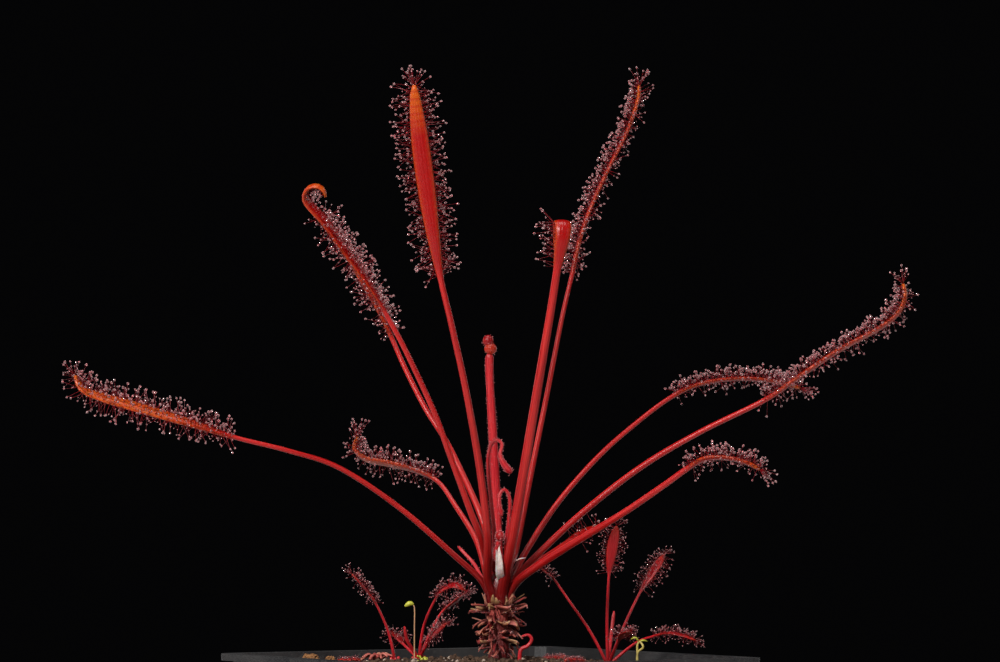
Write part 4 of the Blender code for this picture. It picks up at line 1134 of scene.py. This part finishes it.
def make_hook():
    ground = soil_at(7.3, -4.4) - RIM
    bends = ((5.8, ground - 2.7), (5.8, 0.8), (7.1, 1.8), (7.8, 2.9), (7.2, 3.7), (6.0, 3.4))
    points = [(x, -3.4, z) for x, z in bends]
    bm = bmesh.new()
    tube_into(bm, points, [0.7, 0.75, 0.7, 0.65, 0.6, 0.35], 0.9, (0, -1, 0.2))
    made = finish_mesh("basal_hook_shape", bm, YOUNG_FLESH)
    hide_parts("basal_hook")


def make_lime():
    """Yellow-green flesh that turns pinkish brown where its tone is high."""
    made, tree, shader = new_material("lime_flesh", 0.4)
    fine = grain(tree, 500.0, 5.0)
    green = blend(tree, fine, (0.30, 0.32, 0.02), (0.62, 0.60, 0.08))
    colour = blend(tree, mark(tree, "tone"), green, (0.55, 0.28, 0.18))
    paint(tree, shader, colour)
    bump(tree, shader, fine, 0.00005)
    let_light_in(shader, 0.3, (0.8, 0.8, 0.2), 0.0006)
    return made


def make_moss_capsule(lime):
    x, y = -12.7, 3.2
    ground = soil_at(x - 1.2, y - 1.0) - RIM
    bm = bmesh.new()
    stalk = [(x, y, ground - 2.7), (x, y, 1.0), (x, y, 4.3), (x, y, 8.2), (x - 0.5, y, 8.9)]
    tube_into(bm, stalk, [0.21] * 5, 1.0, (0, -1, 0.2), tone=0.9)
    capsule = [(x - 0.1, y, 8.8), (x - 0.8, y, 9.0), (x - 1.7, y, 8.5)]
    tube_into(bm, capsule, [0.3, 0.75, 0.9, 0.7, 0.3], 0.9, (0, -1, 0.2), step=0.15)
    draw = random.Random("moss")
    for _ in range(MOSS_CRUMBS):
        size = draw.uniform(0.3, 0.8)
        east, north, rise = draw.uniform(0.2, 2.6), draw.uniform(-1.4, 1.0), draw.uniform(-0.1, 0.9)
        add_crumb(bm, draw, (x + east, y + north, RIM + ground + rise), size, 0.8)
    made = finish_mesh("moss_capsule_shape", bm, lime)
    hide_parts("moss_capsule")


def make_sprout(lime):
    ground = soil_at(27.8, -3.2) - RIM
    bm = bmesh.new()
    stems = (
        [(26.2, -2, ground - 2.7), (26.2, -2, 0.4), (26.2, -2, 1.8), (26.5, -2, 2.5)],
        [(26.2, -2, ground - 2.7), (26.2, -2, 0.2), (27.2, -2.5, 1.5), (26.6, -2.1, 2.6)],
    )
    for points in stems:
        tube_into(bm, points, [0.5, 0.42, 0.4, 0.35], 1.0, (0, -1, 0.2), tone=0.4)
    middle = Vector((26.5, -2, 2.5))
    for tip, rise in (((25.1, -2.2, 2.9), 0.5), ((28.0, -1.8, 2.5), 0.2)):
        bend = (middle + Vector(tip)) / 2 + UP * rise
        tube_into(bm, [middle, bend, tip], [0.35, 0.9, 0.95, 0.7, 0.2], 0.45, (0, 0, 1))
    made = finish_mesh("sprout_shape", bm, lime)
    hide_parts("seedling")


def make_tuft(name, x, y, spread, count, rise, flesh=FLESH, slot="leaf_red"):
    """A low rosette of small bent leaves, fuzzy with short tentacles unless it is dry."""
    ground = soil_at(x + 1.4, y + 1.4)
    draw = random.Random(name)
    bodies, stalks, drops = bmesh.new(), bmesh.new(), bmesh.new()
    root = Vector((x, y, ground - 0.5))
    for k in range(count):
        out = outward(k * GOLDEN_ANGLE)
        reach = spread * draw.uniform(0.5, 1)
        middle = root + out * reach * 0.5 + UP * (0.5 + rise * draw.uniform(0.7, 1.1))
        tip = root + out * reach + UP * (0.5 + rise * draw.uniform(0.45, 0.9))
        frames = frames_along(smooth_route([root, middle, tip], 0.3), UP)
        shares = [j / (len(frames) - 1) for j in range(len(frames))]
        widths = [0.35 + 0.6 * math.sin(math.pi * min(0.95, share + 0.05)) for share in shares]
        thick = [0.42] * len(frames)
        tone = draw.uniform(0.1, 0.6) if flesh is DRY_LEAF else 0.0
        sweep_into(bodies, frames, widths, thick, 8, tone=tone, blade=[0.6 * share for share in shares])
        if flesh is not DRY_LEAF:
            half = len(frames) // 2
            cover = frames[half:], widths[half:], thick[half:]
            cover_blade(stalks, drops, draw, cover, TUFT_TENTACLE_SCALE, TUFT_SPACING)
    finish_leaf(name, bodies, stalks, drops, flesh, slot)


LIME = make_lime()
make_hook()
make_moss_capsule(LIME)
make_sprout(LIME)
make_tuft("old_rosette_left", -19.5, 12.5, 3.4, 14, 1.7, DRY_LEAF, "dry_leaf")
make_tuft("rosette_front", 11.9, 5.5, 2.3, 12, 0.9)
make_tuft("rosette_far_left", -24.0, 0.5, 2.2, 10, 0.8)
make_tuft("rosette_right", 15.0, -8.0, 2.0, 10, 0.8)


# The chips of bark
# Three crumbling chips that lie on the soil, each a heap of rough orange-brown grains.

BARK = make_mottled("bark_brown", (0.07, 0.026, 0.010), (0.42, 0.20, 0.075), 1100.0, 0.0004)
GRAINS_A_CHIP = 60
CHIP_FILL = 0.8


def make_bark_chip(name, x, y, size, turn):
    draw = random.Random(name)
    ground = min(soil_at(x + dx, y + dy) for dx in (-1, 1) for dy in (-1, 1))
    bm = bmesh.new()
    for _ in range(GRAINS_A_CHIP):
        out = Vector([draw.gauss(0, 0.5) for _ in range(3)])
        out *= min(1.0, 1 / max(out.length, 0.001)) * 0.5 * CHIP_FILL
        spot = Matrix.Rotation(turn, 3, "Z") @ (out * Vector(size))
        spot += Vector((x, y, ground + 0.3 + size[2] / 2))
        add_crumb(bm, draw, spot, draw.uniform(0.35, 0.8) * size[2] ** 0.5, 0.8)
    chip = finish_mesh(name + "_grains", bm, BARK, smooth=False)
    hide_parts(name)


make_bark_chip("bark_chip_left", -31.0, 6.0, (4.6, 3.0, 2.4), 0.4)
make_bark_chip("bark_chip_small", -27.5, 4.0, (2.4, 2.0, 1.5), 1.2)
make_bark_chip("bark_chip_right", 33.0, -6.0, (3.0, 2.2, 1.3), 2.1)


# Floor, light and camera
# A pale floor, soft light from large panels, a near-black studio, and a long lens just above the
# pot's rim, 0.7 m away.

PANELS_AIM = (0, 0, 0.115)
CAMERA_PLACE = (0.0, -0.7, 0.091)
CAMERA_AIM = (0.0023, 0.0, 0.1217)
CAMERA_LENS = 144
FLOOR_RADIUS = 0.6


def set_up(name, data, place, aim):
    """Puts a lamp or a camera in its place, turned towards its aim."""
    made = bpy.data.objects.new(name, data)
    made.location = place
    made.rotation_euler = (Vector(aim) - Vector(place)).to_track_quat("-Z", "Y").to_euler()
    bpy.context.scene.collection.objects.link(made)
    return made


def add_panel(name, place, size, power, colour=(1.0, 1.0, 1.0)):
    light = bpy.data.lights.new(name, "AREA")
    light.shape = "RECTANGLE"
    light.size, light.size_y = size
    light.energy = power
    light.color = colour
    set_up(name, light, place, PANELS_AIM)


def add_floor():
    bm = bmesh.new()
    bmesh.ops.create_circle(bm, cap_ends=True, segments=96, radius=FLOOR_RADIUS)
    mesh = keep_mesh("floor", bm)
    pale, tree, shader = new_material("floor_paint", 0.8)
    tint = blend(tree, grain(tree, 12.0, 3.0), (0.56, 0.55, 0.54), (0.62, 0.61, 0.60))
    paint(tree, shader, tint)
    mesh.materials.append(pale)
    floor = bpy.data.objects.new("floor", mesh)
    bpy.context.scene.collection.objects.link(floor)


def add_lights():
    world = bpy.data.worlds.new("studio")
    world.use_nodes = True
    world.node_tree.nodes["Background"].inputs["Color"].default_value = (0.0014, 0.0014, 0.0016, 1)
    bpy.context.scene.world = world
    add_panel("panel_front", (-0.32, -0.62, 0.50), (0.13, 0.13), 7.0, (1.0, 0.98, 0.96))
    add_panel("panel_left", (-0.65, -0.25, 0.35), (0.3, 0.5), 0.6, (1.0, 0.98, 0.96))
    add_panel("panel_right", (0.6, -0.45, 0.35), (0.3, 0.5), 0.6, (1.0, 0.97, 0.95))
    add_panel("panel_top", (0.0, -0.1, 0.75), (0.4, 0.3), 2.0)
    add_panel("panel_back_left", (-0.45, 0.5, 0.3), (0.2, 0.4), 0.4)
    add_panel("panel_back_right", (0.45, 0.5, 0.3), (0.2, 0.4), 0.4)


def add_camera():
    camera = bpy.data.cameras.new("camera")
    camera.sensor_width = 36
    camera.lens = CAMERA_LENS
    camera.clip_start = 0.01
    bpy.context.scene.camera = set_up("camera", camera, CAMERA_PLACE, CAMERA_AIM)
    bpy.context.scene.view_settings.view_transform = "Standard"


add_floor()
add_lights()
add_camera()
